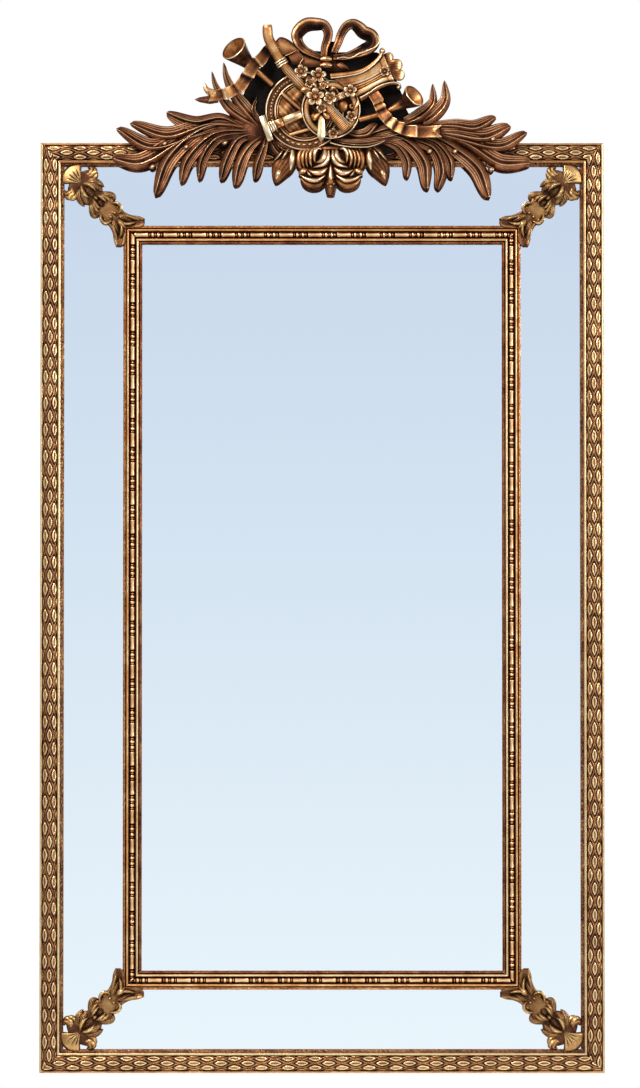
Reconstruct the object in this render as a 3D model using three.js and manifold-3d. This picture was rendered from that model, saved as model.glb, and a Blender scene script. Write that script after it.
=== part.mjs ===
// Trumeau mirror: a mitred outer frame, margin mirrors, a bead-and-reel inner frame round the centre
// mirror, four cast corner mounts and a carved crest, with the hardware behind it.
// Millimetres, +X to the right, +Z up, the wall is the plane y = 0 and the front faces -Y.
// The origin is the middle of the hanging line, at the height of the two D-ring pivots.

import * as THREE from 'three';
import { mergeVertices } from 'three/addons/utils/BufferGeometryUtils.js';
import Module from 'manifold-3d';

const wasm = await Module();
wasm.setup();

// ---------------------------------------------------------------- driving dimensions

const FRAME_WIDTH = 1000;
const FRAME_HEIGHT = 1650;
const HANG_DROP = 300; // frame's top edge down to the hanging line
const WALL_GAP = 9; // frame's back to the wall
const SEAT = 0.3; // clearance between two pieces that touch
const MITRE_GAP = 0.2; // cut off each end of a mitred bar

// Outer moulding, across from its outside edge and forward from its back
const STILE_WIDTH = 42;
const FRAME_DEPTH = 34;
const SIDE_DEPTH = 26; // flat outer side, up to the edge fillet
const EDGE_FILLET = 4.5; // width of the edge fillet
const TORUS_WIDTH = 26; // half-round that carries the leaves
const TORUS_RISE = 11;
const INNER_BEAD = 5; // width of the small bead beside it
const INNER_BEAD_DEPTH = 27.5;
const LIP_WIDTH = 8; // how far the frame covers the glass
const LIP_EDGE = 2.5; // thickness of the lip at the sight edge

// Glass and backing
const GLASS = 4;
const BOARD = 12;
const BOARD_SETBACK = 1.4; // board's back behind the frame's back
const GLASS_PLAY = 1; // room round the glass in the rabbet

// Inner bead frame
const BEAD_INSET = 147; // outer frame's outside edge to the bead frame's outside edge
const BEAD_RAIL_WIDTH = 33.5;
const BEAD_RAIL_RISE = 12.5; // above the glass
const BEAD_STEM = 16; // tongue between the two glasses
const BEAD_RADIUS = 5;
const BEAD_GAP = 1; // bead to the fillet beside it
const BEAD_GROOVE = 1.5; // floor of the grooves below the bead's middle
const BEAD_FILLET = 3.5; // width of the fillet
const BEAD_FILLET_DROP = 1.6; // fillet's face below the bead's top
const BEAD_FILLET_BEVEL = 0.6;
const BEAD_EDGE_GAP = 1.4; // groove between the fillet and the outer edge
const BEAD_EDGE_LOW = 6; // outer edge's height above the glass, at the side
const BEAD_EDGE_HIGH = 9.5; // and beside the groove

// Corner mounts
const MOUNT_RISE = 15;

// Crest
const BLOCK_WIDTH = 280;
const BLOCK_HEIGHT = 44;
const CREST_BOARD = 10;
const LEAF_RISE = 15; // ridge of a leaf above the backboard
const LEAF_CURL = 5; // how far a leaf's tip lifts forward
const DRUM_RADIUS = 70;
const DRUM_RIM = 20;
const DRUM_RISE = 9;
const DRUM_SKIN = 3;
const WREATH_RADIUS = 52.5;
const WREATH_WIDTH = 13.5;
const WREATH_RISE = 5.7;
const LYRE_RISE = 4.8;
const PIPE_RADIUS = 7;
const TUBE_RADIUS = 5;
const TRUMPET_BELL = 24;
const HORN_BELL = 21.5;
const BELL_WALL = 2;
const RIBBON_WIDTH = 19;
const RIBBON_THICKNESS = 3;
const BOW_RADIUS = 7.5;

// Hardware
const STEEL = 2; // plates and clips
const CORNER_PLATE_LEG = 90;
const CORNER_PLATE_WIDTH = 20;
const PLATE_EDGE = 7; // corner plate's distance from the frame's outside
const CREST_STRAP_WIDTH = 24;
const CREST_STRAP_LENGTH = 62;
const CREST_STRAP_INSET = 40; // its middle from the end of the crest's block
const CREST_STRAP_RAISE = 4; // its middle above the joint of block and frame
const CLIP_LENGTH = 34;
const CLIP_WIDTH = 14;
const CLIP_SHEET = 1;
const CLIP_REACH = 2; // how far the clip's step lies over the board
const CLIP_STEP = 3; // length of the clip's sloping step
const CLIP_BELOW_HANGER = 16; // hanger strap's end to the edge of the upper side clip
const BUMPER_RADIUS = 10;
const BUMPER_INSET = 130; // from the frame's top and bottom edges
const HANGER_WIDTH = 18;
const HANGER_LENGTH = 72; // strap plate below the pivot
const HANGER_SHEET = 1.2;
const RING_WIRE = 1.75; // radius of the ring's wire
const RING_WIDTH = 28; // between the wire centres
const RING_DROP = 20; // pivot to the centre of the wire at the ring's bottom
const RING_CORNER = 4; // bend radius at the ends of the ring's straight side
const PIVOT_CLEARANCE = 0.3;

// ---------------------------------------------------------------- values that follow from them

const FRAME_TOP = HANG_DROP;
const FRAME_BOTTOM = FRAME_TOP - FRAME_HEIGHT;
const FRAME_MIDDLE = (FRAME_TOP + FRAME_BOTTOM) / 2;
const RABBET = STILE_WIDTH - LIP_WIDTH; // across, from the outside edge to the rabbet's wall
const BOARD_FRONT = BOARD_SETBACK + BOARD;
const GLASS_BACK = BOARD_FRONT + SEAT;
const GLASS_FRONT = GLASS_BACK + GLASS;
const ON_GLASS = GLASS_FRONT + SEAT; // back of whatever sits on the glass
const STILE_CENTRE = RABBET / 2;
const CREST_STRAP_OFFSET = BLOCK_WIDTH / 2 - CREST_STRAP_INSET; // from the middle
const UPPER_CLIP = -(HANGER_LENGTH + CLIP_BELOW_HANGER + CLIP_WIDTH / 2); // height of its middle
const CREST_BACK = WALL_GAP + FRAME_DEPTH + SEAT;
const CREST_FACE = CREST_BACK + CREST_BOARD; // front of the crest's backboard
const STEM_START = (BEAD_RAIL_WIDTH - BEAD_STEM) / 2;
const WREATH_FOOT = DRUM_RISE + 2 * SEAT;
const LYRE_FOOT = WREATH_FOOT + WREATH_RISE + SEAT;
const PIPE_FOOT = LYRE_FOOT + LYRE_RISE + SEAT;

// ---------------------------------------------------------------- materials

const finish = (color, roughness, metalness) =>
  new THREE.MeshStandardMaterial({ color, roughness, metalness });
const gold = finish(0x9a7048, 0.42, 0.8);
const innerGold = finish(0xc08c50, 0.38, 0.8);
const bronze = finish(0x7a5034, 0.45, 0.75);
const oldGold = finish(0xa88050, 0.4, 0.8);
const mirror = finish(0xd8e4f0, 0.02, 1);
const fibreboard = finish(0x9c7a55, 0.85, 0);
const darkWood = finish(0x2c1a10, 0.8, 0);
const steel = finish(0xa8aaac, 0.35, 0.9);
const rubber = finish(0x1c1c1c, 0.85, 0);

// ---------------------------------------------------------------- geometry helpers

const point = (x, y, z) => new THREE.Vector3(x, y, z);
const MERGE = 1e-4;

function outward(geometry) {
  const position = geometry.attributes.position;
  const index = geometry.index.array;
  const [a, b, c] = [point(), point(), point()];
  let volume = 0;
  for (let i = 0; i < index.length; i += 3) {
    a.fromBufferAttribute(position, index[i]);
    b.fromBufferAttribute(position, index[i + 1]);
    c.fromBufferAttribute(position, index[i + 2]);
    volume += a.dot(b.cross(c));
  }
  if (volume < 0) {
    for (let i = 0; i < index.length; i += 3) {
      [index[i], index[i + 1]] = [index[i + 1], index[i]];
    }
  }
  return geometry;
}

// Skins rings of equally many points into one closed body. `section` is the flat shape of a ring,
// which says how its two ends are closed; a path that closes on itself has no ends.
function skin(rings, section, closed = false) {
  const count = rings[0].length;
  const index = [];
  const spans = closed ? rings.length : rings.length - 1;
  for (let i = 0; i < spans; i += 1) {
    const here = i * count;
    const next = ((i + 1) % rings.length) * count;
    for (let j = 0; j < count; j += 1) {
      const k = (j + 1) % count;
      index.push(here + j, next + j, next + k, here + j, next + k, here + k);
    }
  }
  if (!closed) {
    const last = (rings.length - 1) * count;
    for (const [p, q, r] of capOf(section)) {
      index.push(p, q, r, last + p, last + r, last + q);
    }
  }
  const geometry = new THREE.BufferGeometry();
  const positions = rings.flat().flatMap((p) => [p.x, p.y, p.z]);
  geometry.setAttribute('position', new THREE.Float32BufferAttribute(positions, 3));
  geometry.setIndex(index);
  return outward(geometry);
}

// Triangles that fill a flat outline, wound the way the outline runs.
function capOf(section) {
  const outline = section.map(([x, y]) => new THREE.Vector2(x, y));
  return THREE.ShapeUtils.triangulateShape(outline, []).map(([a, b, c]) => {
    const turn = THREE.ShapeUtils.isClockWise([outline[a], outline[b], outline[c]]);
    return turn === THREE.ShapeUtils.isClockWise(outline) ? [a, b, c] : [a, c, b];
  });
}

function solidOf(geometry) {
  const bare = geometry.clone();
  bare.deleteAttribute('normal');
  bare.deleteAttribute('uv');
  const merged = mergeVertices(bare, MERGE);
  return new wasm.Manifold(
    new wasm.Mesh({
      numProp: 3,
      vertProperties: new Float32Array(merged.attributes.position.array),
      triVerts: new Uint32Array(merged.index.array),
    }),
  );
}

function geometryOf(solid) {
  const mesh = solid.getMesh();
  const geometry = new THREE.BufferGeometry();
  geometry.setAttribute('position', new THREE.Float32BufferAttribute(mesh.vertProperties, 3));
  geometry.setIndex(new THREE.Uint32BufferAttribute(mesh.triVerts, 1));
  return geometry;
}

const fuse = (solids) => solids.reduce((whole, next) => whole.add(next));

// Points of an elliptic arc, angles in turns of a half circle.
function arc(centre, radii, from, to, steps) {
  return Array.from({ length: steps + 1 }, (_, i) => {
    const angle = Math.PI * (from + ((to - from) * i) / steps);
    return [centre[0] + radii[0] * Math.cos(angle), centre[1] + radii[1] * Math.sin(angle)];
  });
}

// A flat outline in the XZ plane, as thick as `depth` from y = -foot forward.
function slab(outline, foot, depth) {
  const shape = new THREE.Shape(outline.map(([x, z]) => new THREE.Vector2(x, z)));
  const geometry = new THREE.ExtrudeGeometry(shape, { depth, bevelEnabled: false });
  return geometry.rotateX(Math.PI / 2).translate(0, -foot, 0);
}

function splineOutline(points, steps) {
  const path = new THREE.CatmullRomCurve3(points.map(([x, z]) => point(x, 0, z)), true, 'centripetal');
  return path.getPoints(steps).slice(0, -1).map((p) => [p.x, p.z]);
}

// A body of changing round section along a path; `radius` gives [across, forward] at 0..1.
function limb(path, radius, steps, sides, closed = false) {
  const circle = arc([0, 0], [1, 1], 0, 2 - 2 / sides, sides - 1);
  const rings = [];
  const last = closed ? steps - 1 : steps;
  for (let i = 0; i <= last; i += 1) {
    const t = i / steps;
    const centre = path.getPointAt(t);
    const along = path.getTangentAt(t);
    const forward = point(0, -1, 0).addScaledVector(along, along.y).normalize();
    const across = along.clone().cross(forward).normalize();
    const [wide, deep] = radius(t);
    rings.push(
      circle.map(([s, f]) =>
        centre.clone().addScaledVector(across, s * wide).addScaledVector(forward, f * deep),
      ),
    );
  }
  return skin(rings, circle, closed);
}

// [x, height, forward] points of the crest as a smooth line.
const crestLine = (points, lift = 0) =>
  new THREE.CatmullRomCurve3(points.map(([x, z, f = 0]) => point(x, -(f + lift), z)), false, 'centripetal');

function mesh(name, geometry, material) {
  const made = new THREE.Mesh(geometry, material);
  made.name = name;
  return made;
}

const model = new THREE.Group();

// ---------------------------------------------------------------- mitred frames

// Section of the outer moulding: [across from the outside edge, forward from the back].
function outerSection() {
  const torusMiddle = EDGE_FILLET + TORUS_WIDTH / 2;
  const torusFoot = FRAME_DEPTH - TORUS_RISE;
  const beadMiddle = EDGE_FILLET + TORUS_WIDTH + INNER_BEAD / 2;
  const fillet = EDGE_FILLET / 2;
  return [
    [0, 0],
    ...arc([fillet, SIDE_DEPTH], [fillet, fillet], 1, 0, 4),
    ...arc([torusMiddle, torusFoot], [TORUS_WIDTH / 2 - SEAT, TORUS_RISE], 1, 0, 10),
    ...arc([beadMiddle, INNER_BEAD_DEPTH], [INNER_BEAD / 2, INNER_BEAD / 2], 1, 0, 4),
    [STILE_WIDTH, ON_GLASS + LIP_EDGE],
    [STILE_WIDTH, ON_GLASS],
    [RABBET, ON_GLASS],
    [RABBET, 0],
  ];
}

// Section of the bead frame: a cap over both glass edges, with a tongue between the glasses.
function beadSection() {
  const middle = BEAD_RAIL_WIDTH / 2;
  const top = ON_GLASS + BEAD_RAIL_RISE;
  const groove = top - BEAD_RADIUS - BEAD_GROOVE;
  const reach = BEAD_RADIUS + BEAD_GAP;
  const face = top - BEAD_FILLET_DROP;
  const beyond = reach + BEAD_FILLET;
  const fillet = [
    [beyond, groove],
    [beyond - BEAD_FILLET_BEVEL, face],
    [reach + BEAD_FILLET_BEVEL, face],
    [reach, groove],
  ];
  const edge = [
    [middle, ON_GLASS],
    [middle, ON_GLASS + BEAD_EDGE_LOW],
    [beyond + BEAD_EDGE_GAP + BEAD_FILLET_BEVEL, ON_GLASS + BEAD_EDGE_HIGH],
    [beyond + BEAD_EDGE_GAP, groove],
  ];
  const outerHalf = [...edge, ...fillet].map(([u, d]) => [middle - u, d]);
  const innerHalf = [...edge, ...fillet].reverse().map(([u, d]) => [middle + u, d]);
  return [
    ...outerHalf,
    ...arc([middle, top - BEAD_RADIUS], [BEAD_RADIUS, BEAD_RADIUS], 1, 0, 8),
    ...innerHalf,
    [middle + BEAD_STEM / 2, ON_GLASS],
    [middle + BEAD_STEM / 2, GLASS_BACK],
    [middle - BEAD_STEM / 2, GLASS_BACK],
    [middle - BEAD_STEM / 2, ON_GLASS],
  ];
}

// One bar of a mitred frame, along X, its outside edge on z = 0 and its inside below it.
function mitredBar(section, length) {
  const ends = [-1, 1].map((side) =>
    section.map(([u, d]) => point(side * (length / 2 - u - MITRE_GAP), -d, -u)),
  );
  return skin(ends, section);
}

// Four bars round a rectangle, all of them behind y = 0 of the given group.
function mitredFrame(names, section, width, height, material) {
  const frame = new THREE.Group();
  const sides = [
    [names[0], width, 0, height / 2, 0],
    [names[1], height, width / 2, 0, Math.PI / 2],
    [names[2], width, 0, -height / 2, Math.PI],
    [names[3], height, -width / 2, 0, -Math.PI / 2],
  ];
  for (const [name, length, x, z, turn] of sides) {
    const bar = mesh(name, mitredBar(section, length), material);
    bar.position.set(x, 0, z);
    bar.rotation.y = turn;
    frame.add(bar);
  }
  frame.position.set(0, -WALL_GAP, FRAME_MIDDLE);
  return frame;
}

model.add(
  mitredFrame(
    ['frame_rail_top', 'frame_stile_right', 'frame_rail_bottom', 'frame_stile_left'],
    outerSection(),
    FRAME_WIDTH,
    FRAME_HEIGHT,
    gold,
  ),
  mitredFrame(
    ['bead_rail_top', 'bead_stile_right', 'bead_rail_bottom', 'bead_stile_left'],
    beadSection(),
    FRAME_WIDTH - 2 * BEAD_INSET,
    FRAME_HEIGHT - 2 * BEAD_INSET,
    innerGold,
  ),
);

// ---------------------------------------------------------------- glass and backing

// A rectangle's plate, centred on the frame, its back `back` forward of the frame's back.
function plate(name, width, height, back, thickness, material) {
  const made = mesh(name, new THREE.BoxGeometry(width, thickness, height), material);
  made.position.set(0, -(WALL_GAP + back + thickness / 2), FRAME_MIDDLE);
  return made;
}

const rabbetInset = RABBET + GLASS_PLAY;
const centreInset = BEAD_INSET + STEM_START + BEAD_STEM + SEAT;
model.add(
  plate(
    'backing_board',
    FRAME_WIDTH - 2 * rabbetInset,
    FRAME_HEIGHT - 2 * rabbetInset,
    BOARD_SETBACK,
    BOARD,
    fibreboard,
  ),
  plate(
    'centre_mirror',
    FRAME_WIDTH - 2 * centreInset,
    FRAME_HEIGHT - 2 * centreInset,
    GLASS_BACK,
    GLASS,
    mirror,
  ),
);

// Section of a margin glass, so that its mitred strips meet under the corner mounts.
const marginInset = BEAD_INSET + STEM_START - SEAT;
const marginSection = [
  [rabbetInset, GLASS_BACK],
  [rabbetInset, GLASS_FRONT],
  [marginInset, GLASS_FRONT],
  [marginInset, GLASS_BACK],
];
model.add(
  mitredFrame(
    ['margin_mirror_top', 'margin_mirror_right', 'margin_mirror_bottom', 'margin_mirror_left'],
    marginSection,
    FRAME_WIDTH,
    FRAME_HEIGHT,
    mirror,
  ),
);

// ---------------------------------------------------------------- carved leaves

// Sections of a leaf: [across, forward]. A large leaf has a steep outer face, a ridge, and a hollow
// with a raised edge on the inner side of its curve.
const LEAF_SECTION = [
  [-0.7, 0],
  [-0.8, 0.35],
  [0, 1],
  [0.4, 0.5],
  [0.75, 0.58],
  [1.15, 0.45],
  [1, 0],
];
const PETAL_SECTION = [
  [-0.9, 0],
  [-0.8, 0.5],
  [0, 1],
  [0.8, 0.5],
  [0.9, 0],
];

// Share of its full width that a leaf has along its length: narrow root, broad shoulder, blunt tip.
const ROOT_WIDTH = 0.45;
const TIP_WIDTH = 0.07;
const SHOULDER = 0.64;
const BLUNTNESS = 0.55; // a smaller power makes a blunter tip
function leafWidth(t) {
  if (t < SHOULDER) {
    return ROOT_WIDTH + (1 - ROOT_WIDTH) * Math.sin((t / SHOULDER) * (Math.PI / 2));
  }
  return Math.max(TIP_WIDTH, Math.cos(((t - SHOULDER) / (1 - SHOULDER)) * (Math.PI / 2)) ** BLUNTNESS);
}

// Share of its full rise: half at the root, most at two thirds, and thinner again at the tip.
const LIFT_FROM = 0.7; // where a leaf's tip starts to lift
const leafRise = (t) => 0.5 + 0.5 * Math.sin(Math.PI * Math.min(1, t * 0.75)) - 0.25 * t ** 4;

// 1 where a line turns to its left, -1 where it turns to its right.
function turnOf(path) {
  const [start, end] = [path.getTangentAt(0), path.getTangentAt(1)];
  return Math.sign(start.x * end.z - start.z * end.x) || 1;
}

const LARGE_LEAF = {
  rise: LEAF_RISE,
  curl: LEAF_CURL,
  foot: SEAT,
  stations: [0, 0.3, 0.6, 0.84, 1],
  section: LEAF_SECTION,
};

// A carved leaf along a ridge line seen from the front, from its root to its tip.
function leaf([ridge, halfWidth], settings = {}) {
  const { rise, curl, foot, stations, section } = { ...LARGE_LEAF, ...settings };
  const path = crestLine(ridge);
  const inner = turnOf(path);
  const rings = [];
  for (const t of stations) {
    const centre = path.getPointAt(t);
    const along = path.getTangentAt(t);
    const across = point(-along.z, 0, along.x).multiplyScalar(inner);
    rings.push(
      section.map(([s, f]) => {
        const lifted = curl * Math.max(0, (t - LIFT_FROM) / (1 - LIFT_FROM)) ** 2;
        const forward = foot + lifted + f * rise * leafRise(t);
        const aside = s * halfWidth * leafWidth(t);
        return centre.clone().addScaledVector(across, aside).add(point(0, -forward, 0));
      }),
    );
  }
  return solidOf(skin(rings, section));
}

// A low rounded boss that joins the leaves of a spray at their roots.
function boss([x, z], [wide, high, deep], foot = SEAT) {
  const profile = [
    [0, 0],
    [1, 0],
    [0.8, 0.7],
    [0, 1],
  ].map(([r, f]) => new THREE.Vector2(r, f));
  const geometry = new THREE.LatheGeometry(profile, 8).scale(wide, deep, high).rotateX(Math.PI);
  return solidOf(geometry.translate(x, -foot, z));
}

// ---------------------------------------------------------------- crest

const crest = new THREE.Group();
crest.position.set(0, -CREST_FACE, FRAME_TOP);
model.add(crest);

// Outline of the dark backboard, inside the leaves' outline: [x, height above the frame].
const BACKBOARD = [
  [-302, -20], [-285, 4], [-235, 32], [-175, 42], [-150, 60], [-134, 98], [-108, 134], [-86, 160],
  [-40, 164], [20, 160], [70, 160], [104, 158], [126, 138], [134, 104], [146, 76], [152, 52],
  [200, 38], [270, 30], [305, 8], [325, -18], [300, -30], [245, -14], [160, -8], [96, -28],
  [15, -56], [-62, -28], [-130, -8], [-230, -14],
];
crest.add(mesh('crest_backboard', slab(splineOutline(BACKBOARD, 52), -CREST_BOARD, CREST_BOARD), darkWood));

const LEFT_LEAVES = [
  [[[-136, 26], [-179, 46], [-226, 40], [-273, 57]], 14],
  [[[-124, 25], [-196, 34], [-273, 13], [-336, 38]], 13],
  [[[-161, 29], [-226, 12], [-303, -7], [-361, 30]], 14],
  [[[-174, 31], [-246, 5], [-323, -37], [-373, -28]], 16],
  [[[-111, 24], [-201, 30], [-273, -26], [-297, -93]], 15],
  [[[-111, 21], [-191, 17], [-241, -31], [-251, -71]], 12],
  [[[-116, 19], [-186, 9], [-214, -28], [-219, -65]], 10],
  [[[-111, 18], [-149, 7], [-172, -33], [-180, -66]], 11],
  [[[-107, 13], [-134, -11], [-149, -41], [-155, -76]], 12],
  [[[-98, 12], [-107, -14], [-116, -38], [-120, -65]], 9],
  [[[-114, 31], [-154, 79], [-170, 116], [-174, 142]], 12],
  [[[-116, 28], [-166, 61], [-189, 101], [-194, 126]], 10],
  [[[-118, 40], [-124, 60], [-116, 81]], 5],
];
const RIGHT_LEAVES = [
  [[[180, 34], [203, 49], [220, 74], [218, 110]], 12],
  [[[148, 34], [175, 46], [198, 71], [195, 103]], 11],
  [[[195, 31], [235, 34], [272, 31], [305, 49]], 12],
  [[[195, 21], [235, 17], [290, 10], [331, 34]], 14],
  [[[190, 21], [245, 7], [317, -5], [360, 22]], 13],
  [[[220, 14], [265, -6], [317, -38], [371, -36]], 15],
  [[[195, 14], [235, -8], [280, -46], [297, -97]], 15],
  [[[170, 12], [205, -1], [228, -31], [230, -63]], 10],
  [[[155, 9], [200, -11], [215, -48], [206, -83]], 12],
  [[[91, 14], [145, 7], [183, -33], [187, -83]], 13],
  [[[106, 4], [135, -6], [153, -33], [151, -62]], 9],
  [[[60, 20], [74, 14], [97, 33]], 8],
];
const SCROLL_LEAF = [[[28, -4], [52, -8], [82, -8], [112, 5]], 6];

// A spray is one carving: its leaves and the bosses that join them at the roots.
function spray(name, leaves, bosses) {
  const solids = [...leaves.map((each) => leaf(each)), ...bosses];
  return mesh(name, geometryOf(fuse(solids)), bronze);
}

// Bosses that join the leaves at their roots: place, and half width, half height and rise.
const ROOT_RISE = 7;
const LEFT_ROOTS = [
  [[-122, 20], [26, 24, ROOT_RISE]],
  [[-180, 14], [40, 18, ROOT_RISE]],
];
const RIGHT_ROOTS = [
  [[110, 8], [34, 13, ROOT_RISE]],
  [[180, 18], [44, 18, ROOT_RISE]],
  [[240, 12], [34, 15, ROOT_RISE]],
];
const roots = (places) => places.map(([place, size]) => boss(place, size));
crest.add(
  spray('leaf_spray_left', LEFT_LEAVES, roots(LEFT_ROOTS)),
  spray('leaf_spray_right', [...RIGHT_LEAVES, SCROLL_LEAF], roots(RIGHT_ROOTS)),
);

// Palmette under the drum, with a husk leaf at each side.
const PALMETTE_AXIS = 15;
const PALMETTE_RISE = 20;
const SMALL_LEAF = { stations: [0, 0.35, 0.72, 1], section: PETAL_SECTION };
// The right half: [distance from the axis, height] of each ridge, and its half width.
const PALMETTE_LOBES = [
  [[[4, -30], [17, -24], [35, -30], [41, -44]], 11],
  [[[3, -42], [15, -50], [33, -66], [51, -58]], 12],
  [[[3, -52], [9, -66], [19, -78], [29, -80]], 10],
  [[[57, -19], [77, -40], [100, -70]], 13],
  [[[0, -26], [35, -24], [67, -26]], 9],
];
const PALMETTE_RIB = [[[0, -21], [0, -60], [0, -91]], 11];
function palmette() {
  const placed = ([ridge, width], side) => [ridge.map(([x, z]) => [PALMETTE_AXIS + side * x, z]), width];
  const lobes = [-1, 1].flatMap((side) => PALMETTE_LOBES.map((lobe) => leaf(placed(lobe, side), SMALL_LEAF)));
  const rib = leaf(placed(PALMETTE_RIB, 1), { ...SMALL_LEAF, rise: PALMETTE_RISE });
  return mesh('palmette', geometryOf(fuse([rib, ...lobes])), oldGold);
}
crest.add(palmette());

// Tambourine: a rim with a groove for its pearls, and a skin let into it.
const DRUM_CENTRE = [-31, 58];
const ROUND = 32; // sides of a large round piece
function lathed(profile, segments, [x, z]) {
  const points = profile.map(([r, f]) => new THREE.Vector2(r, f));
  const outline = profile[0][0] > 0 ? [...points, points[0]] : points;
  return new THREE.LatheGeometry(outline, segments).rotateX(Math.PI).translate(x, 0, z);
}
const rimInside = DRUM_RADIUS - DRUM_RIM;
const tambourineRim = lathed(
  [
    [rimInside, SEAT],
    [DRUM_RADIUS, SEAT],
    [DRUM_RADIUS, DRUM_RISE - 2],
    [DRUM_RADIUS - 3, DRUM_RISE],
    [DRUM_RADIUS - 6, DRUM_RISE],
    [DRUM_RADIUS - 8, DRUM_RISE - 2],
    [DRUM_RADIUS - 12, DRUM_RISE - 2],
    [DRUM_RADIUS - 14, DRUM_RISE],
    [rimInside + 2, DRUM_RISE],
    [rimInside, DRUM_RISE - 2],
  ],
  ROUND,
  DRUM_CENTRE,
);
crest.add(mesh('tambourine_frame', tambourineRim, bronze));

// The tubes of the two horns run on over the skin.
const BAR_RADIUS = TUBE_RADIUS - 1;
function tambourineSkin() {
  const skinRadius = rimInside - SEAT;
  const skinProfile = [[0, SEAT], [skinRadius, SEAT], [skinRadius, DRUM_SKIN], [0, DRUM_SKIN]];
  const disc = lathed(skinProfile, ROUND, DRUM_CENTRE);
  const bars = [
    [[-65, 84], [-18, 40]],
    [[-52, 20], [-6, 24]],
  ].map((ends) => limb(crestLine(ends, DRUM_SKIN + BAR_RADIUS / 2), () => [BAR_RADIUS, BAR_RADIUS], 1, 8));
  return mesh('tambourine_skin', geometryOf(fuse([disc, ...bars].map(solidOf))), oldGold);
}
crest.add(tambourineSkin());

// Flower of five petals seen from the front.
function flower([x, z], radius, foot, rise) {
  const petals = 5;
  const steps = 15;
  const outline = (share) =>
    Array.from({ length: steps }, (_, i) => {
      const angle = (2 * Math.PI * i) / steps;
      const reach = radius * share * (0.78 + 0.22 * Math.cos(petals * angle));
      return [reach * Math.sin(angle), reach * Math.cos(angle)];
    });
  const layers = [
    [0.8, 0],
    [1, rise * 0.6],
    [0.3, rise],
  ];
  const rings = layers.map(([share, f]) => outline(share).map(([s, h]) => point(x + s, -(foot + f), z + h)));
  return solidOf(skin(rings, outline(1)));
}

const WREATH_CENTRE = [16, 62];
const FLOWER_RISE = 6;
const WREATH_FLOWERS = [
  [[51, 93], 11],
  [[52, 49], 8],
  [[19, 16], 8],
];
function wreathRing() {
  const inside = WREATH_RADIUS - WREATH_WIDTH;
  const top = WREATH_FOOT + WREATH_RISE;
  const ring = lathed(
    [
      [inside, WREATH_FOOT],
      [WREATH_RADIUS, WREATH_FOOT],
      [WREATH_RADIUS, top],
      [WREATH_RADIUS - 3, top],
      [WREATH_RADIUS - 5, top - 2.5],
      [inside, top - 2.5],
    ],
    ROUND,
    WREATH_CENTRE,
  );
  const flowers = WREATH_FLOWERS.map(([place, radius]) => flower(place, radius, top - 3, FLOWER_RISE));
  return mesh('wreath_ring', geometryOf(fuse([solidOf(ring), ...flowers])), oldGold);
}
crest.add(wreathRing());

// Lyre: head block, ferrule and neck on the left, body with two arms and a scalloped end.
const LYRE_BODY = [
  [11, 117], [58, 122], [84, 134], [100, 152], [112, 152], [128, 136],
  [132, 112], [118, 102], [96, 92], [66, 76], [40, 72],
];
const LYRE_ARMS = [
  [[11, 119], [58, 124], [86, 136], [101, 153], [106, 163]],
  [[68, 76], [96, 94], [118, 104], [138, 101]],
];
const LYRE_HEAD = [[-105, 48], [-92, 5]];
const LYRE_NECK = [[-99, 25], [-57, 43], [42, 89]];
const LYRE_STRING_REST = [[36, 84], [48, 112], [110, 132], [122, 106], [60, 84]];
const LYRE_SCALLOPS = [[121, 153], [134, 138], [138, 121]];
const LYRE_HEAD_WIDTH = 6; // half widths of the head, the ferrule and the neck
const LYRE_FERRULE_WIDTH = 6.5;
const LYRE_NECK_WIDTH = 5.5;
const LYRE_HEAD_RISE = 2; // head's face above the neck's
const LYRE_ARM_RADIUS = 4;
const SCALLOP_RADIUS = 11;

// A straight bar of rectangular section between two places, `height` thick from `foot` forward.
function flatBar([[x0, z0], [x1, z1]], halfWidth, foot, height) {
  const length = Math.hypot(x1 - x0, z1 - z0);
  const bar = new THREE.BoxGeometry(length, height, 2 * halfWidth);
  bar.rotateY(-Math.atan2(z1 - z0, x1 - x0));
  return bar.translate((x0 + x1) / 2, -(foot + height / 2), (z0 + z1) / 2);
}

// A disc's room behind the lyre, which is cut out of it.
const room = ([x, z], radius, depth) =>
  solidOf(lathed([[0, 0], [radius, 0], [radius, depth], [0, depth]], ROUND, [x, z]));

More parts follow.
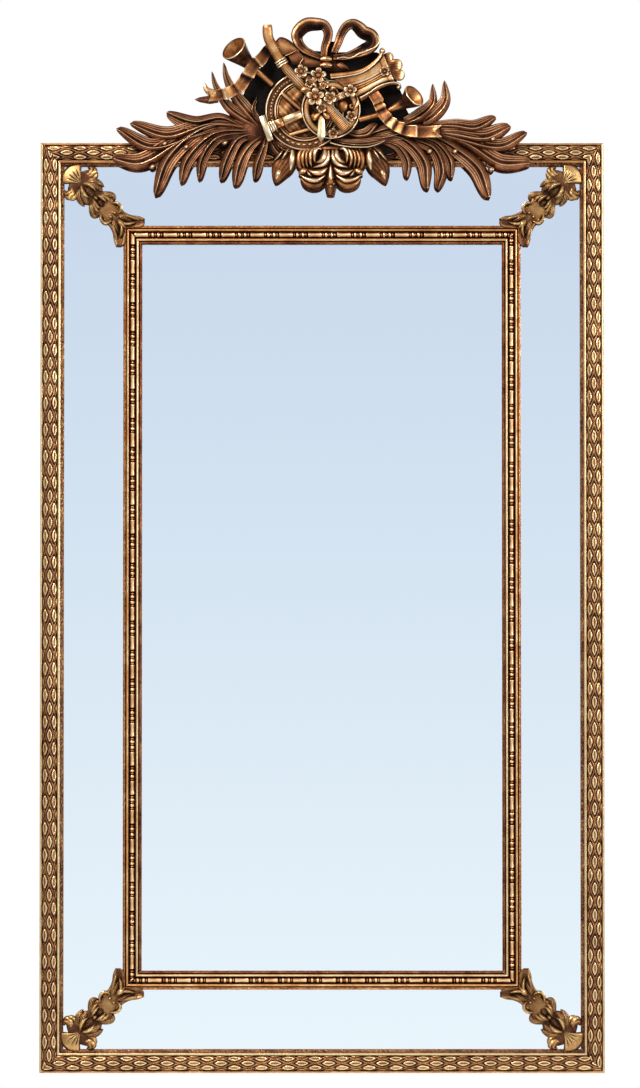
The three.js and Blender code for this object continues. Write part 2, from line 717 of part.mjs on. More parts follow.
function lyre() {
  const top = LYRE_FOOT + LYRE_RISE;
  const body = solidOf(slab(LYRE_BODY, SEAT, LYRE_FOOT + 1));
  const round = () => [LYRE_ARM_RADIUS, LYRE_ARM_RADIUS];
  const armLines = LYRE_ARMS.map((line) => crestLine(line, LYRE_FOOT + LYRE_ARM_RADIUS));
  const arms = armLines.map((line) => solidOf(limb(line, round, 6, 6)));
  const scallop = [SCALLOP_RADIUS, SCALLOP_RADIUS, LYRE_FOOT];
  const scallops = LYRE_SCALLOPS.map((place) => boss(place, scallop, SEAT * 2));
  const head = solidOf(flatBar(LYRE_HEAD, LYRE_HEAD_WIDTH, WREATH_FOOT, top - WREATH_FOOT + LYRE_HEAD_RISE));
  const neckParts = [
    solidOf(flatBar(LYRE_NECK.slice(0, 2), LYRE_FERRULE_WIDTH, LYRE_FOOT, LYRE_RISE)),
    solidOf(flatBar(LYRE_NECK.slice(1), LYRE_NECK_WIDTH, LYRE_FOOT, LYRE_RISE - SEAT)),
  ];
  const stringRest = solidOf(slab(LYRE_STRING_REST, LYRE_FOOT, LYRE_RISE - 1));
  const carved = fuse([body, ...scallops, stringRest, ...arms, head, ...neckParts]);
  const [flowerPlace, flowerRadius] = WREATH_FLOWERS[0];
  const cuts = [
    room(WREATH_CENTRE, WREATH_RADIUS + SEAT, LYRE_FOOT),
    room(DRUM_CENTRE, DRUM_RADIUS + SEAT, LYRE_FOOT),
    room(flowerPlace, flowerRadius + 2 * SEAT, 2 * top),
  ];
  return mesh('lyre', geometryOf(cuts.reduce((left, tool) => left.subtract(tool), carved)), oldGold);
}

crest.add(lyre());

// A flared tube: the bell is hollow and opens at the start of its line.
const FLARE_CURVE = 1.6; // a larger power makes a narrower throat
function flaredTube(name, line, bell, flare) {
  const path = crestLine(line);
  const sides = 12;
  const steps = 5; // rings between the mouth and the throat
  const circle = arc([0, 0], [1, 1], 0, 2 - 2 / sides, sides - 1);
  const ringAt = (t, radius) => {
    const centre = path.getPointAt(t);
    const along = path.getTangentAt(t);
    const forward = point(0, -1, 0).addScaledVector(along, along.y).normalize();
    const across = along.clone().cross(forward).normalize();
    return circle.map(([s, f]) =>
      centre.clone().addScaledVector(across, s * radius).addScaledVector(forward, f * radius),
    );
  };
  const spread = (t) => TUBE_RADIUS + (bell - TUBE_RADIUS) * Math.max(0, 1 - t / flare) ** FLARE_CURVE;
  const flaring = Array.from({ length: steps }, (_, i) => flare * ((i + 1) / steps));
  const stations = [0, ...flaring, (1 + flare) / 2, 1];
  const outside = stations.map((t) => ringAt(t, spread(t))).reverse();
  const inside = stations.slice(0, steps - 1).map((t) => ringAt(t, spread(t) - BELL_WALL));
  return mesh(name, skin([...outside, ...inside], circle), oldGold);
}
// The bells stand forward of their tubes: [across, height, forward of the tube's own line].
const TRUMPET_LINE = [[-159, 171, 12], [-136, 147, 3], [-112, 127, 0], [-88, 106, 0]];
const HORN_LINE = [[165, 86, 9], [145, 72, 3], [121, 60, 0], [96, 47, 0], [76, 41, 0]];
const lifted = (line) => line.map(([x, z, raise]) => [x, z, WREATH_FOOT + TUBE_RADIUS + raise]);
crest.add(
  flaredTube('trumpet', lifted(TRUMPET_LINE), TRUMPET_BELL, 0.7),
  flaredTube('horn', lifted(HORN_LINE), HORN_BELL, 0.5),
);

// Curved pipe with its ringed collar, laid over the lyre's neck.
const PIPE_LINE = [[-97, 211], [-95, 186], [-72, 144], [-29, 96], [11, 61], [43, 27]];
const COLLAR_AT = 0.3;
const COLLAR_RISE = 3.5;
const PIPE_FLATNESS = 0.7; // the pipe is less deep than wide
function curvedPipe() {
  const lift = PIPE_FOOT + PIPE_RADIUS * PIPE_FLATNESS;
  const swell = (t) => {
    const base = PIPE_RADIUS * (1.15 - 0.25 * t);
    return Math.abs(t - COLLAR_AT) < 0.02 ? base + COLLAR_RISE : base;
  };
  const path = crestLine(PIPE_LINE, lift);
  const stations = [0, 0.06, 0.12, 0.18, 0.24, 0.27, 0.285, 0.315, 0.33, 0.5, 0.75, 1];
  const circle = arc([0, 0], [1, PIPE_FLATNESS], 0, 2 - 0.2, 9);
  const rings = stations.map((t) => {
    const centre = path.getPointAt(t);
    const along = path.getTangentAt(t);
    const across = point(-along.z, 0, along.x);
    return circle.map(([s, f]) =>
      centre.clone().addScaledVector(across, s * swell(t)).add(point(0, -f * PIPE_RADIUS, 0)),
    );
  });
  return mesh('curved_pipe', skin(rings, circle), oldGold);
}
crest.add(curvedPipe());

// Flowers and the pointed leaf that hangs below them, on the pipe and the ring.
const CLUSTER = [
  [[-7, 119], 14],
  [[-12, 82], 15],
  [[14, 81], 11],
  [[-1, 62], 9],
];
const CLUSTER_LEAVES = [
  [[[-1, 66], [-1, 40], [-1, 8]], 6],
  [[[-8, 110], [2, 104], [10, 102]], 4],
  [[[-8, 108], [-20, 104], [-28, 96]], 4],
  [[[-3, 66], [-10, 56], [-14, 46]], 4],
];
const CLUSTER_FOOT = PIPE_FOOT + 2 * PIPE_RADIUS * PIPE_FLATNESS + SEAT;
const CLUSTER_LEAF_RISE = 4;
const STEM_RISE = 2.5;
const CLUSTER_STEMS = [
  [[-8, 102], [6, 12, STEM_RISE]],
  [[1, 81], [9, 5, STEM_RISE]],
  [[-5, 70], [5, 9, STEM_RISE]],
];
function flowerCluster() {
  const small = { ...SMALL_LEAF, rise: CLUSTER_LEAF_RISE, curl: 0, foot: CLUSTER_FOOT };
  const flowers = CLUSTER.map(([place, radius]) => flower(place, radius, CLUSTER_FOOT, FLOWER_RISE));
  const leaves = CLUSTER_LEAVES.map((each) => leaf(each, small));
  const stems = CLUSTER_STEMS.map(([place, size]) => boss(place, size, CLUSTER_FOOT));
  return mesh('flower_cluster', geometryOf(fuse([...flowers, ...leaves, ...stems])), oldGold);
}
crest.add(flowerCluster());

// Ribbon: a thin band that waves forward and back along its line and ends in a fork.
function ribbon(name, line, { wave, waves }) {
  const path = crestLine(line);
  const steps = 4 * waves;
  const section = [
    [-1, 0],
    [1, 0],
    [1, 1],
    [-1, 1],
  ];
  const half = RIBBON_WIDTH / 2;
  const rings = [];
  for (let i = 0; i <= steps; i += 1) {
    const t = i / steps;
    const centre = path.getPointAt(t);
    const along = path.getTangentAt(t);
    const across = point(-along.z, 0, along.x).normalize();
    const lift = wave * Math.sin(2 * Math.PI * waves * t);
    rings.push(
      section.map(([s, f]) =>
        centre.clone().addScaledVector(across, s * half).add(point(0, -(lift + f * RIBBON_THICKNESS), 0)),
      ),
    );
  }
  // the swallow tail: a wedge cut out of the ribbon's end
  const end = path.getPointAt(1);
  const back = path.getTangentAt(1).multiplyScalar(-1);
  const side = point(-back.z, 0, back.x).multiplyScalar(half * 0.8);
  const beyond = end.clone().addScaledVector(back, -1);
  const inside = end.clone().addScaledVector(back, half * 1.2);
  const notch = [beyond.clone().add(side), beyond.clone().sub(side), inside];
  const wedge = slab(notch.map((p) => [p.x, p.z]), 0, 2 * CREST_FACE);
  return mesh(name, geometryOf(solidOf(skin(rings, section)).subtract(solidOf(wedge))), bronze);
}
const LEFT_RIBBON = [
  [-52, 168, 4], [-78, 172, 4], [-100, 160, 10], [-112, 138, 27], [-126, 119, 29], [-146, 99, 21],
  [-171, 86, 20], [-222, 86, 19],
];
const RIGHT_RIBBON = [
  [92, 84, 22], [103, 61, 23], [116, 41, 22], [135, 26, 19], [160, 19, 18], [213, 20, 20],
];
crest.add(
  ribbon('ribbon_tail_left', LEFT_RIBBON, { wave: 1.6, waves: 5 }),
  ribbon('ribbon_tail_right', RIGHT_RIBBON, { wave: 1.4, waves: 4 }),
);

// Bow: two open loops of ribbon drawn into a knot of two rolls.
const BOW_LOOPS = [
  [
    [0, 152], [-19, 167], [-39, 183], [-44, 198], [-31, 211],
    [-14, 216], [2, 212], [7, 199], [4, 181], [6, 152],
  ],
  [
    [10, 152], [20, 172], [28, 190], [40, 207], [55, 212], [70, 204],
    [85, 194], [92, 183], [84, 172], [62, 162], [36, 155], [12, 146],
  ],
];
const BOW_DEPTH = 1.2; // the bow's ribbon is a little deeper than wide
const KNOT = [
  [[-5, 151], [17, 151]],
  [[-4, 139], [18, 139]],
];
const KNOT_RAISE = 2; // forward of the loops
function bow() {
  const deep = BOW_RADIUS * BOW_DEPTH;
  const lift = SEAT + deep;
  const swell = (t) => [BOW_RADIUS * (0.7 + 0.3 * Math.sin(Math.PI * t)), deep];
  const round = () => [BOW_RADIUS, deep];
  const loops = BOW_LOOPS.map((line) => solidOf(limb(crestLine(line, lift), round, 14, 8)));
  const rolls = KNOT.map((line) => solidOf(limb(crestLine(line, lift + KNOT_RAISE), swell, 4, 8)));
  return mesh('ribbon_bow', geometryOf(fuse([...loops, ...rolls])), bronze);
}
crest.add(bow());

// Block on the top rail that carries the backboard, and the straps that hold it to the rail.
const block = mesh('crest_block', new THREE.BoxGeometry(BLOCK_WIDTH, FRAME_DEPTH, BLOCK_HEIGHT), darkWood);
block.position.set(0, -(WALL_GAP + FRAME_DEPTH / 2), FRAME_TOP + SEAT + BLOCK_HEIGHT / 2);
model.add(block);

const onBack = WALL_GAP - SEAT - STEEL / 2; // middle of a steel plate on the frame's back
for (const [name, side] of [
  ['crest_strap_left', -1],
  ['crest_strap_right', 1],
]) {
  const strap = mesh(name, new THREE.BoxGeometry(CREST_STRAP_WIDTH, STEEL, CREST_STRAP_LENGTH), steel);
  strap.position.set(side * CREST_STRAP_OFFSET, -onBack, FRAME_TOP + SEAT / 2 + CREST_STRAP_RAISE);
  model.add(strap);
}

// ---------------------------------------------------------------- corner mounts

// A cast mount lies along the diagonal: s from the frame's sight corner, t across, both in mm.
// Its head is a fan of petals, its waist a saddle with two balls, and its end two curling tails.
const MOUNT_PETALS = [
  [[[46, 0], [26, 0], [5, 0]], 12],
  [[[64, 10], [50, 21], [36, 26]], 8],
  [[[64, -10], [50, -21], [36, -26]], 8],
  [[[104, 0], [72, 0], [38, 0]], 21],
  [[[130, 0], [98, 0], [64, 0]], 20],
  [[[100, 0], [124, 0], [146, 0]], 20],
  [[[118, 6], [144, 20], [167, 31]], 10],
  [[[118, -6], [144, -22], [166, -38]], 10],
];
const MOUNT_BALLS = [
  [122, 5],
  [122, -5],
];
function cornerMount() {
  const petal = { ...SMALL_LEAF, rise: MOUNT_RISE, curl: 0, foot: 0 };
  const petals = MOUNT_PETALS.map((each) => leaf(each, petal));
  const balls = MOUNT_BALLS.map((place) => boss(place, [4.5, 4.5, MOUNT_RISE + 4], 0));
  return geometryOf(fuse([...petals, ...balls]));
}
const mountForm = cornerMount();
const sightX = FRAME_WIDTH / 2 - STILE_WIDTH;
const sightTop = FRAME_TOP - STILE_WIDTH;
const sightBottom = FRAME_BOTTOM + STILE_WIDTH;
const corners = [
  ['top_left', -1, 1],
  ['top_right', 1, 1],
  ['bottom_right', 1, -1],
  ['bottom_left', -1, -1],
];
for (const [place, right, up] of corners) {
  const mount = mesh(`corner_mount_${place}`, mountForm.clone(), oldGold);
  mount.position.set(right * sightX, -(WALL_GAP + ON_GLASS), up > 0 ? sightTop : sightBottom);
  mount.rotation.y = Math.atan2(up, -right);
  model.add(mount);
}

// ---------------------------------------------------------------- hardware at the back

// Steel corner plate across a mitre.
for (const [place, right, up] of corners) {
  const leg = CORNER_PLATE_LEG;
  const wide = CORNER_PLATE_WIDTH;
  const outline = [[0, 0], [leg, 0], [leg, wide], [wide, wide], [wide, leg], [0, leg]].map(([x, z]) => [
    -right * x,
    -up * z,
  ]);
  const made = mesh(`corner_plate_${place}`, slab(outline, -STEEL, STEEL), steel);
  const z = up > 0 ? FRAME_TOP - PLATE_EDGE : FRAME_BOTTOM + PLATE_EDGE;
  made.position.set(right * (FRAME_WIDTH / 2 - PLATE_EDGE), -(WALL_GAP - SEAT), z);
  model.add(made);
}

// Retainer clip: a bent strip, its tail on the frame's back and its finger on the backing board.
function clipForm() {
  const step = BOARD_SETBACK;
  const tail = CLIP_LENGTH / 2 - CLIP_REACH;
  const finger = CLIP_LENGTH - tail;
  const slant = (CLIP_SHEET * step) / CLIP_STEP; // keeps the sheet's thickness along the step
  const section = [
    [-tail, 0], [0, 0], [CLIP_STEP, -step], [finger, -step], [finger, CLIP_SHEET - step],
    [CLIP_STEP + slant, CLIP_SHEET - step], [slant, CLIP_SHEET], [-tail, CLIP_SHEET],
  ];
  const ends = [-1, 1].map((side) => section.map(([x, y]) => point(x, y, (side * CLIP_WIDTH) / 2)));
  return skin(ends, section);
}
const CLIPS = [
  ['top', 0, 1, 0],
  ['bottom', 0, -1, 0],
  ['left_upper', -1, 0, 1],
  ['left_middle', -1, 0, 0],
  ['left_lower', -1, 0, -1],
  ['right_upper', 1, 0, 1],
  ['right_middle', 1, 0, 0],
  ['right_lower', 1, 0, -1],
];
const CLIP_SPACING = UPPER_CLIP - FRAME_MIDDLE;
const clipEdgeX = FRAME_WIDTH / 2 - RABBET;
const clipEdgeZ = FRAME_HEIGHT / 2 - RABBET;
for (const [place, right, up, along] of CLIPS) {
  const clip = mesh(`retainer_clip_${place}`, clipForm(), steel);
  const clipZ = FRAME_MIDDLE + up * clipEdgeZ + along * CLIP_SPACING;
  clip.position.set(right * clipEdgeX, -(WALL_GAP - SEAT), clipZ);
  clip.rotation.y = Math.atan2(up, -right);
  model.add(clip);
}

// Rubber bumpers on the stiles.
const bumperLength = WALL_GAP - SEAT;
for (const [place, right, up] of corners) {
  const stub = new THREE.CylinderGeometry(BUMPER_RADIUS, BUMPER_RADIUS, bumperLength, 20);
  const bumper = mesh(`bumper_${place}`, stub, rubber);
  const z = up > 0 ? FRAME_TOP - BUMPER_INSET : FRAME_BOTTOM + BUMPER_INSET;
  bumper.position.set(right * (FRAME_WIDTH / 2 - STILE_CENTRE), -bumperLength / 2, z);
  model.add(bumper);
}

// D-ring hanger: a strip folded round the ring's straight side and laid on itself.
const strapBack = -(WALL_GAP - SEAT);
const strapFront = strapBack + 2 * HANGER_SHEET;
const pivotY = strapFront + SEAT + RING_WIRE;
const eyeInside = RING_WIRE + PIVOT_CLEARANCE;
const eyeOutside = eyeInside + HANGER_SHEET;

function hangerStrapForm() {
  const drop = Math.asin((strapFront - pivotY) / eyeOutside); // where the eye meets the plate's face
  const shape = new THREE.Shape();
  shape.moveTo(strapBack, -HANGER_LENGTH);
  shape.lineTo(strapBack, -eyeOutside);
  shape.lineTo(pivotY - eyeOutside, 0);
  shape.absarc(pivotY, 0, eyeOutside, Math.PI, drop - Math.PI / 2, true);
  shape.lineTo(strapFront, -HANGER_LENGTH);
  const hole = new THREE.Path();
  hole.absarc(pivotY, 0, eyeInside, 0, 2 * Math.PI, false);
  shape.holes.push(hole);
  const settings = { depth: HANGER_WIDTH, bevelEnabled: false, curveSegments: 16 };
  const geometry = new THREE.ExtrudeGeometry(shape, settings).translate(0, 0, -HANGER_WIDTH / 2);
  return geometry.applyMatrix4(new THREE.Matrix4().makeBasis(point(0, 1, 0), point(0, 0, 1), point(1, 0, 0)));
}

// The ring: a straight side in the eye and a round bow below it, one closed wire.
function ringForm() {
  const half = RING_WIDTH / 2;
  const corner = RING_CORNER;
  const bend = (cx, cz, radius, from, to, steps) => arc([cx, cz], [radius, radius], from, to, steps);
  const wire = [
    ...bend(half - corner, -corner, corner, 0.5, 0, 2),
    ...bend(0, -(RING_DROP - half), half, 0, -1, 10),
    ...bend(-(half - corner), -corner, corner, 1, 0.5, 2),
  ];
  const sides = 8;
  const rings = wire.map(([x, z], i) => {
    const before = wire[(i + wire.length - 1) % wire.length];
    const after = wire[(i + 1) % wire.length];
    const along = point(after[0] - before[0], 0, after[1] - before[1]).normalize();
    const out = point(along.z, 0, -along.x);
    return arc([0, 0], [RING_WIRE, RING_WIRE], 0, 2 - 2 / sides, sides - 1).map(([s, f]) =>
      point(x, pivotY, z).addScaledVector(out, s).add(point(0, f, 0)),
    );
  });
  return skin(rings, wire, true);
}

for (const [side, right] of [
  ['left', -1],
  ['right', 1],
]) {
  const hanger = new THREE.Group();
  hanger.position.set(right * (FRAME_WIDTH / 2 - STILE_CENTRE), 0, 0);
  hanger.add(mesh(`hanger_strap_${side}`, hangerStrapForm(), steel));
  hanger.add(mesh(`hanger_ring_${side}`, ringForm(), steel));
  model.add(hanger);
}

export default model;
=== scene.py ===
# Trumeau mirror: the looks of the carved and gilded frame, its mirrors and its hardware.
# Metres in Blender; the carving is worked out in millimetres, as [x, height, forward] with the
# wall behind and forward towards the viewer, and is turned into the frame's own metres at the end.
import math

import bpy
import numpy as np
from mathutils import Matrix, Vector

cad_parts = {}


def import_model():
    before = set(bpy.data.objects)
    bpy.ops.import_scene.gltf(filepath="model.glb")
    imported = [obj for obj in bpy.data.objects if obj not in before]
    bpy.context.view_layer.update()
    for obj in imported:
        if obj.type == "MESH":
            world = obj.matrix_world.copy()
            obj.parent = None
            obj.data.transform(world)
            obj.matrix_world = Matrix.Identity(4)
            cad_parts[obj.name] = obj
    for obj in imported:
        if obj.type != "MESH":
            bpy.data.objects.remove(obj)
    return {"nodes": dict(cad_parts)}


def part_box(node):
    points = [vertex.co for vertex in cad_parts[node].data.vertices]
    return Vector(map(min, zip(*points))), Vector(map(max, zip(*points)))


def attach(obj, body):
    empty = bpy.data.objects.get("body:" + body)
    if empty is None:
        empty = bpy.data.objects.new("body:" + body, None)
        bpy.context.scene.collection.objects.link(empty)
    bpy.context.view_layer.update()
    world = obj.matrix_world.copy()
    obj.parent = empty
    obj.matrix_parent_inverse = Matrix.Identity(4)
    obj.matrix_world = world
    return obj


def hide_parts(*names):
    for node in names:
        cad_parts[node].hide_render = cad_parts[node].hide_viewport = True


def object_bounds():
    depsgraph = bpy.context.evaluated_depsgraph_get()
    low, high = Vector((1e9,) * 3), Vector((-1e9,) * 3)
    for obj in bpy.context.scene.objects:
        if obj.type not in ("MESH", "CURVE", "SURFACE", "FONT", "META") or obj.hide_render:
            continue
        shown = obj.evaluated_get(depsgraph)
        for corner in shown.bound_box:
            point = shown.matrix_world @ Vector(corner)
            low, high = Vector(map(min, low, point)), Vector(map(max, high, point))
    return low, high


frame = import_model()
cad_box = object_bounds()

MM = 0.001
BODY = "mirror"

# ---------------------------------------------------------------- sizes from the frame

outer_low, outer_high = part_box("frame_stile_left")
right_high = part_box("frame_stile_right")[1]
FRAME_WIDTH = (right_high.x - outer_low.x) / MM
FRAME_TOP = outer_high.z / MM
FRAME_HEIGHT = (outer_high.z - outer_low.z) / MM
FRAME_MIDDLE = FRAME_TOP - FRAME_HEIGHT / 2
WALL_GAP = -outer_high.y / MM
CREST_FACE = -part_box("crest_backboard")[0].y / MM

# Outer moulding, across from its outside edge and forward from its back
STILE_WIDTH = 42
FRAME_DEPTH = 34
SIDE_DEPTH = 26  # flat outer side, up to the edge fillet
EDGE_FILLET = 4.5  # width of the edge fillet
TORUS_WIDTH = 26  # half-round that carries the buds
TORUS_RISE = 11
INNER_BEAD = 5  # width of the small bead beside it
INNER_BEAD_DEPTH = 27.5
SLOPE_TOP = 26  # where the sanded slope starts
LIP_WIDTH = 8  # how far the frame covers the glass
LIP_EDGE = 2.5  # thickness of the lip at the sight edge
ON_GLASS = 18.0  # underside of what lies on the glass
GLASS_BACK = 13.7
MITRE_GAP = 0.2  # cut off each end of a mitred bar

# Inner bead frame
BEAD_INSET = 147  # outer frame's outside edge to the bead frame's outside edge
BEAD_RAIL_WIDTH = 33.5
BEAD_RAIL_RISE = 12.5  # above the glass
BEAD_STEM = 16  # tongue between the two glasses
BEAD_RADIUS = 5

# Crest: places are [x, height above the frame's top edge], and feet are forward of the backboard
SEAT = 0.3  # clearance between two pieces that touch
LEAF_RISE = 15
LEAF_CURL = 5  # how far a leaf's tip lifts forward
DRUM_CENTRE = (-31, 56.6)
DRUM_RISE = 9
DRUM_SKIN = 3
WREATH_CENTRE = (16, 59.4)
WREATH_RADIUS = 52.5
WREATH_WIDTH = 13.5
WREATH_FOOT = DRUM_RISE + 2 * SEAT
WREATH_RISE = 5.7
LYRE_FOOT = WREATH_FOOT + WREATH_RISE + SEAT
LYRE_RISE = 4.8
PIPE_FOOT = LYRE_FOOT + LYRE_RISE + SEAT
PIPE_RADIUS = 7
PIPE_FLATNESS = 0.7
CLUSTER_FOOT = PIPE_FOOT + 2 * PIPE_RADIUS * PIPE_FLATNESS + SEAT

chance = np.random.default_rng(7)

# ---------------------------------------------------------------- lines and sections

LINE_STEPS = 24  # points worked out between two points of a smooth line


def run_along(points):
    """Distance of each point from the first, along the points."""
    return np.concatenate([[0], np.cumsum(np.linalg.norm(np.diff(points, axis=0), axis=1))])


def smooth_line(points, count):
    """Evenly spaced stations on a smooth line through the points, as an array of [x, height, forward]."""
    knots = np.array([list(p) + [0] * (3 - len(p)) for p in points], float)
    knots = np.vstack([2 * knots[0] - knots[1], knots, 2 * knots[-1] - knots[-2]])
    s = np.linspace(0, 1, LINE_STEPS, endpoint=False)[:, None]
    s2, s3 = s**2, s**3
    dense = []
    for p0, p1, p2, p3 in zip(knots[:-3], knots[1:-2], knots[2:-1], knots[3:]):
        d0, d1, d2 = (max(np.linalg.norm(b - a) ** 0.5, 1e-6) for a, b in ((p0, p1), (p1, p2), (p2, p3)))
        m1 = ((p1 - p0) / d0 - (p2 - p0) / (d0 + d1) + (p2 - p1) / d1) * d1
        m2 = ((p2 - p1) / d1 - (p3 - p1) / (d1 + d2) + (p3 - p2) / d2) * d1
        leaving = (2 * s3 - 3 * s2 + 1) * p1 + (s3 - 2 * s2 + s) * m1
        dense.append(leaving + (3 * s2 - 2 * s3) * p2 + (s3 - s2) * m2)
    dense = np.vstack(dense + [knots[-2:-1]])
    run = run_along(dense)
    at = np.linspace(0, run[-1], count)
    return np.stack([np.interp(at, run, dense[:, k]) for k in range(3)], axis=1)


def directions(path):
    """Unit tangents along a path."""
    along = np.gradient(path, axis=0)
    return along / np.linalg.norm(along, axis=1, keepdims=True)


def flat_across(along):
    """Directions square to the tangents in the crest's plane, to the left of the way the line runs."""
    across = np.stack([-along[:, 1], along[:, 0], np.zeros(len(along))], axis=1)
    return across / np.linalg.norm(across, axis=1, keepdims=True)


def round_frame(path):
    """For a round bar along a path: its tangents, and the directions across it and towards the viewer."""
    along = directions(path)
    ahead = np.array([0, 0, 1.0]) - along * along[:, 2:3]
    ahead /= np.linalg.norm(ahead, axis=1, keepdims=True)
    return along, np.cross(along, ahead), ahead


def full_turn(count):
    """Evenly spaced angles, once round."""
    return 2 * np.pi * np.arange(count) / count


def round_points(centre, radius, angle):
    """x and height of the places at these angles round a centre."""
    return centre[0] + radius * np.cos(angle), centre[1] + radius * np.sin(angle)


def arc_points(centre, radii, start, end, count):
    """Points of an elliptic arc, angles in half turns."""
    angle = np.pi * np.linspace(start, end, count)
    return np.stack([centre[0] + radii[0] * np.cos(angle), centre[1] + radii[1] * np.sin(angle)], axis=1)


def bump_at(value, centre, width):
    """1 at the centre, and about a third at `width` from it."""
    return np.exp(-(((value - centre) / width) ** 2))


def smooth_step(value, low, high):
    """0 before `low`, 1 past `high` and smooth between them; `low` can be the larger one."""
    share = np.clip((value - low) / (high - low), 0, 1)
    return share * share * (3 - 2 * share)


def softened(values, reach):
    """Each value averaged with the ones within `reach` places of it."""
    count = 2 * reach + 1
    return np.convolve(np.pad(values, reach, mode="edge"), np.ones(count) / count, "valid")


# ---------------------------------------------------------------- meshes

CREST_DROOP = 0.108  # the carving's front parts hang lower, by this share of how far they stand out


def on_crest(points):
    """[x, height, forward] from the crest's backboard to the frame's axes, in millimetres."""
    x, high, forward = points.T
    ahead = CREST_FACE + forward - (WALL_GAP + FRAME_DEPTH)
    return np.stack([x, -(CREST_FACE + forward), FRAME_TOP + high - CREST_DROOP * ahead], axis=1)


def new_object(name, data):
    """An object of the scene that shows this data."""
    made = bpy.data.objects.new(name, data)
    bpy.context.scene.collection.objects.link(made)
    return made


class Carving:
    """Closed shells gathered into one mesh, with how worn each point is and the highlights and shade painted
    on it.
    """

    def __init__(self):
        self.points, self.wear_and_light = [], []
        self.corners, self.sizes = [], []
        self.count = 0

    def shell(self, rings, wear_and_light, loop=False):
        """Skins rings of equally many points, an array [station, point, 3]. A loop has no ends."""
        rings = np.asarray(rings, float)
        stations, sides = rings.shape[:2]
        wear_and_light = np.broadcast_to(wear_and_light, (stations, sides))
        i = np.arange(stations if loop else stations - 1)[:, None]
        j = np.arange(sides)[None, :]
        here, after = i * sides, ((i + 1) % stations) * sides
        ahead = (j + 1) % sides
        quads = np.stack([here + j, here + ahead, after + ahead, after + j], axis=-1).reshape(-1, 4)
        points = rings.reshape(-1, 3)
        caps = [] if loop else [np.arange(sides)[::-1], (stations - 1) * sides + np.arange(sides)]
        a, b, c, d = (points[quads[:, k]] for k in range(4))
        middle = points.mean(axis=0)
        volume = np.einsum("ij,ij->", a - middle, np.cross(b - middle, c - middle))
        volume += np.einsum("ij,ij->", a - middle, np.cross(c - middle, d - middle))
        for cap in caps:
            ring = points[cap] - middle
            volume += np.einsum("ij,ij->", np.cross(ring, np.roll(ring, -1, axis=0)), ring.mean(axis=0)[None])
        if volume < 0:
            quads = quads[:, ::-1]
            caps = [cap[::-1] for cap in caps]
        self.corners += [quads.ravel() + self.count] + [cap + self.count for cap in caps]
        self.sizes += [np.full(len(quads), 4)] + [np.array([len(cap)]) for cap in caps]
        self.points.append(points)
        self.wear_and_light.append(wear_and_light.ravel())
        self.count += len(points)
        return self

    def join(self, other, move):
        """Adds another carving's shells with their points moved; mirrored moves turn the faces."""
        points = move(np.vstack(other.points))
        corners = np.concatenate(other.corners)
        sizes = np.concatenate(other.sizes)
        trial = np.array([[0, 0, 0], [1, 0, 0], [0, 1, 0], [0, 0, 1]], float)
        moved = move(trial)
        if np.linalg.det(moved[1:] - moved[0]) < 0:
            starts = np.concatenate([[0], np.cumsum(sizes)[:-1]])
            corners = np.concatenate([corners[s : s + n][::-1] for s, n in zip(starts, sizes)])
        self.corners.append(corners + self.count)
        self.sizes.append(sizes)
        self.points.append(points)
        self.wear_and_light.append(np.concatenate(other.wear_and_light))
        self.count += len(points)
        return self

    def build(self, node, place, material, slot):
        """Makes the piece that is seen in the place of one of the frame's nodes."""
        points = place(np.vstack(self.points)) * MM
        corners = np.concatenate(self.corners).astype(np.int32)
        sizes = np.concatenate(self.sizes).astype(np.int32)
        data = bpy.data.meshes.new(f"carved_{node}")
        data.vertices.add(len(points))
        data.vertices.foreach_set("co", points.astype(np.float32).ravel())
        data.loops.add(len(corners))
        data.loops.foreach_set("vertex_index", corners)
        data.polygons.add(len(sizes))
        starts = np.concatenate([[0], np.cumsum(sizes)[:-1]]).astype(np.int32)
        data.polygons.foreach_set("loop_start", starts)
        data.polygons.foreach_set("use_smooth", np.ones(len(sizes), bool))
        data.update(calc_edges=True)
        data.validate()
        # per point: the gilding's rubbed wear together with painted highlights and painted shade
        attribute = data.attributes.new("wear_and_light", "FLOAT", "POINT")
        attribute.data.foreach_set("value", np.concatenate(self.wear_and_light).astype(np.float32))
        data.materials.append(material)
        piece = new_object(f"carved_{node}", data)
        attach(piece, BODY)
        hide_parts(node)


def both_sides(half, mirror):
    """A carving together with its mirrored copy."""
    return Carving().join(half, lambda points: points).join(half, mirror)


def add_relief(made, face, backs, lit_and_worn, hidden=0.05):
    """Adds a carved face that is closed by two lines behind it."""
    rings = np.concatenate([face] + [line[:, None] for line in backs], axis=1)
    lit_and_worn = np.concatenate([lit_and_worn, np.full((len(face), 2), hidden)], axis=1)
    made.shell(rings, np.clip(lit_and_worn, 0, 1))


# ---------------------------------------------------------------- materials


